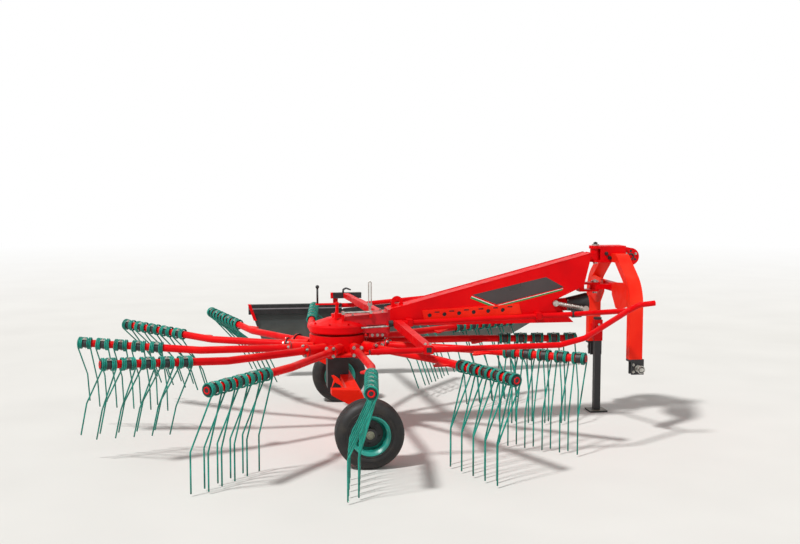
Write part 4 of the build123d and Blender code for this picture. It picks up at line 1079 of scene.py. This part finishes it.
class RAKE_OT_headstock_parts(bpy.types.Operator):
    """Bolts, rings, welds, dark discs painted as shade in the top link ear's spare holes, and the
    stand's pin on the headstock
    """

    bl_idname = "rake.headstock_parts"
    bl_label = "Headstock parts"

    def execute(self, context):
        zinc, dark, welds, pin = (bmesh.new() for _ in range(4))
        for side in (-1, 1):
            outwards = Vector((0, side, 0))
            add_ring(zinc, crosswise(at(LOWER_PIN_X, side * 0.499, LOWER_PIN_Z)), 0.024, 0.0028)
            for z in (0.470, 0.424):
                add_bolt(zinc, at(1.910, side * 0.439, z), outwards)
            ear = at(TOP_LINK_X, side * 0.042, TOP_LINK_Z)
            for spot in spots_round(ear, 0.040, 30, 150, 270):
                add_bolt(zinc, spot, outwards)
            for x, z in ((1.845, 1.178), (1.868, 1.150)):
                add_bolt(dark, at(x, side * 0.068, z), outwards, 0.019, 0.012)
            add_ring(dark, crosswise(at(TOP_LINK_X, side * 0.0425, TOP_LINK_Z)), 0.0195, 0.0055)
            # Dark discs in the ear's three spare holes are painted shade
            inside = at(TOP_LINK_X, side * 0.030, TOP_LINK_Z)
            for spot in spots_round(inside, 0.038, 90, 210, 330):
                add_bar(dark, spot, spot + outwards * 0.010, 0.0092)
            for start, end in (
                ((1.881, 0.286, 0.997), (1.881, 0.345, 0.989)),
                ((1.881, 0.381, 0.855), (1.881, 0.381, 0.960)),
                ((1.893, 0.095, 0.976), (1.893, 0.300, 0.976)),
            ):
                first, second = (at(x, side * y, z) for x, y, z in (start, end))
                add_bar(welds, first, second, 0.0035, 8)
        add_bolt(dark, at(SWIVEL_X, 0, 1.240), UP, 0.024, 0.010)
        add_bolt(zinc, at(SWIVEL_X, 0, 0.988), UP, 0.020, 0.006, False)
        finish_piece(dark, "mast_bolts_and_hole_shade", "headstock", "graphite")
        finish_piece(zinc, "headstock_bolts", "headstock", "zinc")
        # The welds take the headstock's lighter sunlit red as painted light
        finish_piece(welds, "headstock_welds", "headstock", "racks_and_sunlit", smooth=True)
        start, end = (at(STAND_PIN_X, y, STAND_PIN_Z) for y in (0.280, 0.362))
        add_bar(pin, start, end, 0.008, 14)
        hanging = Matrix.Translation(start + Vector((0, 0.002, -0.018)))
        add_ring(pin, hanging @ Matrix.Rotation(0.4, 4, "X"), 0.018, 0.002)
        finish_piece(pin, "stand_pin", "headstock", "zinc")
        return {"FINISHED"}


CURTAIN_Y = 1.900
CURTAIN_REAR, CURTAIN_FRONT = -0.570, 1.925
CURTAIN_LOW, CURTAIN_HIGH = 0.285, 0.7375
# How far the cloth's waves stand out, how far below its top they start, and where they grow
WAVE, WAVE_START, WAVE_GROWTH = 0.0055, 0.05, 0.33


def hang_cloth(low, high, thick, proud):
    """The cloth between two heights, cut to the curtain's outline, in its hung waves."""
    bm = bmesh.new()
    middle = at((CURTAIN_REAR + CURTAIN_FRONT) / 2, CURTAIN_Y, (CURTAIN_LOW + CURTAIN_HIGH) / 2)
    size = Matrix.Diagonal(
        ((CURTAIN_FRONT - CURTAIN_REAR) / 2, (CURTAIN_HIGH - CURTAIN_LOW) / 2, 1, 1)
    )
    bmesh.ops.create_grid(
        bm, x_segments=110, y_segments=18, size=1.0, matrix=crosswise(middle) @ size
    )
    profile_end = at(0.200, 0, 0).x
    # A point on the cut, the way that is taken off, and which part it cuts: behind the
    # profile's front end, -1, ahead of it, 1, or both, 0
    cuts = (
        ((0.0, 0.5985), (0.0, 1.0), -1),
        ((0.300, 0.600), (-0.137, 1.625), 1),
        ((1.590, 0.285), (0.183, -0.335), 0),
        ((-0.568, 0.640), (-0.135, -0.047), 0),
        ((0.0, low), (0.0, -1.0), 0),
        ((0.0, high), (0.0, 1.0), 0),
    )
    for spot, way, side in cuts:
        faces = [
            face for face in bm.faces
            if side * (face.calc_center_median().x - profile_end) >= 0
        ]
        edges = {edge for face in faces for edge in face.edges}
        verts = {vert for face in faces for vert in face.verts}
        bmesh.ops.bisect_plane(
            bm, geom=[*faces, *edges, *verts], dist=0.00001,
            plane_co=at(spot[0], 0, spot[1]), plane_no=(way[0], 0, way[1]), clear_outer=True,
        )
    area = sum(face.calc_area() for face in bm.faces)
    for vert in bm.verts:
        x, z = vert.co.x, vert.co.z
        sag = min(1.0, max(0.0, (CURTAIN_HIGH - WAVE_START - z) / WAVE_GROWTH))
        wave = math.sin(x * 7.1) + 0.5 * math.sin(x * 15.7 + 1.1) + 0.3 * math.sin(x * 31.0)
        vert.co.y += WAVE * wave * sag ** 1.4 + proud
    bmesh.ops.recalc_face_normals(bm, faces=bm.faces)
    bmesh.ops.solidify(bm, geom=bm.faces[:], thickness=thick)
    return bm, area


class RAKE_OT_curtain(bpy.types.Operator):
    """Hangs the swath curtain with its hem, edge profile, arm and rail"""

    bl_idname = "rake.curtain"
    bl_label = "Swath curtain"

    def execute(self, context):
        self.add_cloth()
        self.add_profile()
        self.add_arm()
        return {"FINISHED"}

    def add_cloth(self):
        """The cloth itself and its hem."""
        bm, area = hang_cloth(CURTAIN_LOW, CURTAIN_HIGH, 0.003, 0.0015)
        cloth = finish_piece(bm, "hung_curtain", "curtain", "cloth", smooth=True, crease=True)
        bm, _ = hang_cloth(CURTAIN_LOW, CURTAIN_LOW + 0.030, 0.006, 0.003)
        hem = finish_piece(bm, "curtain_hem", "curtain", "cloth", smooth=True, crease=True)
        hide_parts("curtain_cloth")

    def add_profile(self):
        """The profile that holds the cloth's rear half, its red end and the rivets."""
        profile, strips, end, rivets = (bmesh.new() for _ in range(4))
        low, high, near, far = 0.5560, 0.6385, 1.8755, 1.9245
        wall, roof = 0.004, 0.002
        section = (
            (near, low), (near, high), (far, high), (far, low), (far - wall, low),
            (far - wall, high - roof), (near + wall, high - roof), (near + wall, low),
        )
        add_plate(profile, [at(-0.5715, y, z) for y, z in section], (0.784, 0, 0))
        finish_piece(profile, "curtain_profile", "curtain", "plastic", bevel=0.001)
        for y in (near - 0.001, far):
            add_block(strips, at(-0.565, y, 0.600), at(0.212, y + 0.001, 0.609))
        finish_piece(strips, "curtain_edge_strip", "curtain", "strip")
        slant = ((-0.576, 0.640), (-0.550, 0.640), (-0.503, 0.505), (-0.529, 0.505))
        add_plate(end, [at(x, 1.8735, z) for x, z in slant], (0, 0.053, 0))
        finish_piece(end, "curtain_red_end", "curtain", "frame", bevel=0.0012)
        for x in (-0.540 + index * 0.102 for index in range(8)):
            for y, way in ((near - 0.001, -1), (far + 0.001, 1)):
                add_bolt(rivets, at(x, y, 0.585), (0, way, 0), 0.008, 0.001, False)
        for x in (0.36 + index * 0.138 for index in range(12)):
            z = 0.590 + (x - 0.300) * 0.137 / 1.625
            for y, way in ((1.8965, -1), (1.9035, 1)):
                add_bolt(rivets, at(x, y, z), (0, way, 0), height=0.0015)
        finish_piece(rivets, "curtain_rivets", "curtain", "graphite")

    def add_arm(self):
        """The square arm with its head and lever, and the round rail below it."""
        tube, head, rail, lever = (bmesh.new() for _ in range(4))
        start, end = at(0.3342, 0.5702, 0.7270), at(0.246, CURTAIN_Y, 0.705)
        run = end - start
        half = 0.0209
        add_block(tube, (-half, -half, 0), (half, half, run.length), level_place(start, run))
        add_block(tube, at(0.120, 1.876, 0.681), at(0.138, 1.924, 0.729))
        arm = finish_piece(tube, "curtain_arm_tube", "curtain", "frame")
        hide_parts("curtain_arm")
        add_block(head, at(0.138, 1.876, 0.681), at(0.380, 1.924, 0.729))
        finish_piece(head, "curtain_arm_head", "curtain", "graphite", bevel=0.0015)
        kink, rail_radius = at(0.300, CURTAIN_Y, 0.620), 0.019
        add_bar(rail, at(0.190, CURTAIN_Y, 0.619), kink, rail_radius, 24)
        add_bar(rail, kink, at(1.925, CURTAIN_Y, 0.757), rail_radius, 24)
        add_ball(rail, kink, rail_radius, 24)
        for x in (0.140, 0.320):
            add_block(rail, at(x, 1.890, 0.626), at(x + 0.040, 1.910, 0.681))
        round_tube = finish_piece(rail, "curtain_rail_tube", "curtain", "frame")
        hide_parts("curtain_rail")
        bends = [at(x, 1.885, z) for x, z in ((0.225, 0.758), (0.250, 0.767), (0.290, 0.752))]
        add_bar(lever, at(0.225, 1.885, 0.727), bends[0], 0.008, 12)
        add_bar(lever, bends[0] - Vector((0, 0, 0.002)), bends[1], 0.008, 12)
        add_bar(lever, bends[1], bends[2], 0.008, 12, 0.006)
        finish_piece(lever, "sleeve_lever", "curtain", "graphite", smooth=True)


def studio_floor():
    """Matt pale studio floor that fades into the white surround."""
    made, tree, shader, place, colour = new_finish(
        "studio_floor", (900.0, 2.0), (0.3, "dddbd6"), (0.7, "e2e0db"), Roughness=0.9
    )
    tree.links.new(colour, shader.inputs["Base Color"])
    distance = node(
        tree, "ShaderNodeVectorMath", [(0, place)], operation="LENGTH"
    ).outputs["Value"]
    fade = node(tree, "ShaderNodeMapRange", [("Value", distance)], ends(6.0, 22.0, 0.0, 1.0))
    seen = node(tree, "ShaderNodeLightPath").outputs["Is Camera Ray"]
    share = node(
        tree, "ShaderNodeMath", [(0, fade.outputs["Result"]), (1, seen)], operation="MULTIPLY"
    )
    white = node(
        tree, "ShaderNodeEmission", inputs=[("Color", (1, 1, 1, 1)), ("Strength", 1.0)]
    )
    mixed = node(
        tree, "ShaderNodeMixShader",
        [(0, share.outputs["Value"]), (1, shader.outputs["BSDF"]), (2, white.outputs[0])],
    )
    tree.links.new(mixed.outputs[0], tree.nodes["Material Output"].inputs["Surface"])
    return made


class RAKE_OT_stage(bpy.types.Operator):
    """Pale floor, white surround and soft lamps"""

    bl_idname = "rake.stage"
    bl_label = "Stage"

    def execute(self, context):
        self.add_floor(context)
        scene = context.scene
        scene.view_settings.view_transform = "Standard"
        world = bpy.data.worlds.new("studio")
        scene.world = world
        world.use_nodes = True
        tree = world.node_tree
        back = tree.nodes["Background"]
        back.inputs["Color"].default_value = (1.0, 1.0, 1.0, 1.0)
        rays = node(tree, "ShaderNodeLightPath").outputs
        seen = node(
            tree, "ShaderNodeMath",
            [(0, rays["Is Camera Ray"]), (1, rays["Is Glossy Ray"])], operation="MAXIMUM",
        )
        # The surround lights the rake with 0.34, and shows white to the camera and in gloss
        strength = node(
            tree, "ShaderNodeMapRange", [("Value", seen.outputs["Value"])],
            ends(0.0, 1.0, 0.34, 1.0),
        )
        tree.links.new(strength.outputs["Result"], back.inputs["Strength"])
        self.add_sun(context, "key", (-0.62, -0.44, 1.0), 3.0, 6.0)
        self.add_sun(context, "fill", (0.9, -0.8, 0.6), 0.35, 40.0)
        return {"FINISHED"}

    def add_floor(self, context):
        """A wide floor just below the wheels."""
        bm = bmesh.new()
        bmesh.ops.create_grid(bm, x_segments=1, y_segments=1, size=60.0)
        mesh = bpy.data.meshes.new("floor")
        bm.to_mesh(mesh)
        bm.free()
        floor = bpy.data.objects.new("floor", mesh)
        floor.location.z = -0.0005
        context.collection.objects.link(floor)
        mesh.materials.append(studio_floor())

    def add_sun(self, context, name, toward, strength, soft):
        """A lamp that shines from a direction, with an angle in degrees that softens it."""
        lamp = bpy.data.lights.new(name, "SUN")
        lamp.energy = strength
        lamp.angle = math.radians(soft)
        sun = bpy.data.objects.new(name, lamp)
        sun.rotation_euler = Vector(toward).to_track_quat("Z", "Y").to_euler()
        context.collection.objects.link(sun)


class RAKE_PT_panel(bpy.types.Panel):
    """Lists the rake's sizes and pieces"""

    bl_idname = "RAKE_PT_panel"
    bl_label = "Rotary rake"
    bl_space_type = "VIEW_3D"
    bl_region_type = "UI"
    bl_category = "Rake"

    def draw(self, context):
        for title, group in (
            ("Tines", context.scene.rake_tines),
            ("Wheels", context.scene.rake_wheels),
            ("Finishes", context.scene.rake_finishes),
        ):
            box = self.layout.box()
            box.label(text=title)
            for field in group.bl_rna.properties:
                if field.identifier not in {"rna_type", "name"}:
                    box.prop(group, field.identifier)
        for operator in PIECES:
            self.layout.operator(operator.bl_idname)


PIECES = (
    RAKE_OT_camera,
    RAKE_OT_finishes,
    RAKE_OT_tines,
    RAKE_OT_arm_parts,
    RAKE_OT_tyres,
    RAKE_OT_wheel_parts,
    RAKE_OT_boom_parts,
    RAKE_OT_middle_parts,
    RAKE_OT_springs,
    RAKE_OT_guard_parts,
    RAKE_OT_headstock_parts,
    RAKE_OT_curtain,
    RAKE_OT_stage,
)
GROUPS = (RakeTineSettings, RakeWheelSettings, RakeFinishSettings)


def register():
    """Makes the settings, the operators and the panel known."""
    for part in (*GROUPS, *PIECES, RAKE_PT_panel):
        bpy.utils.register_class(part)
    bpy.types.Scene.rake_tines = PointerProperty(type=RakeTineSettings)
    bpy.types.Scene.rake_wheels = PointerProperty(type=RakeWheelSettings)
    bpy.types.Scene.rake_finishes = PointerProperty(type=RakeFinishSettings)


def unregister():
    """Takes them away again."""
    del bpy.types.Scene.rake_finishes
    del bpy.types.Scene.rake_wheels
    del bpy.types.Scene.rake_tines
    for part in reversed((*GROUPS, *PIECES, RAKE_PT_panel)):
        bpy.utils.unregister_class(part)


def main():
    """Makes every piece in order."""
    register()
    bpy.ops.rake.camera()
    bpy.ops.rake.finishes()
    bpy.ops.rake.tines()
    bpy.ops.rake.arm_parts()
    bpy.ops.rake.tyres()
    bpy.ops.rake.wheel_parts()
    bpy.ops.rake.boom_parts()
    bpy.ops.rake.middle_parts()
    bpy.ops.rake.springs()
    bpy.ops.rake.guard_parts()
    bpy.ops.rake.headstock_parts()
    bpy.ops.rake.curtain()
    bpy.ops.rake.stage()


if __name__ == "__main__":
    main()
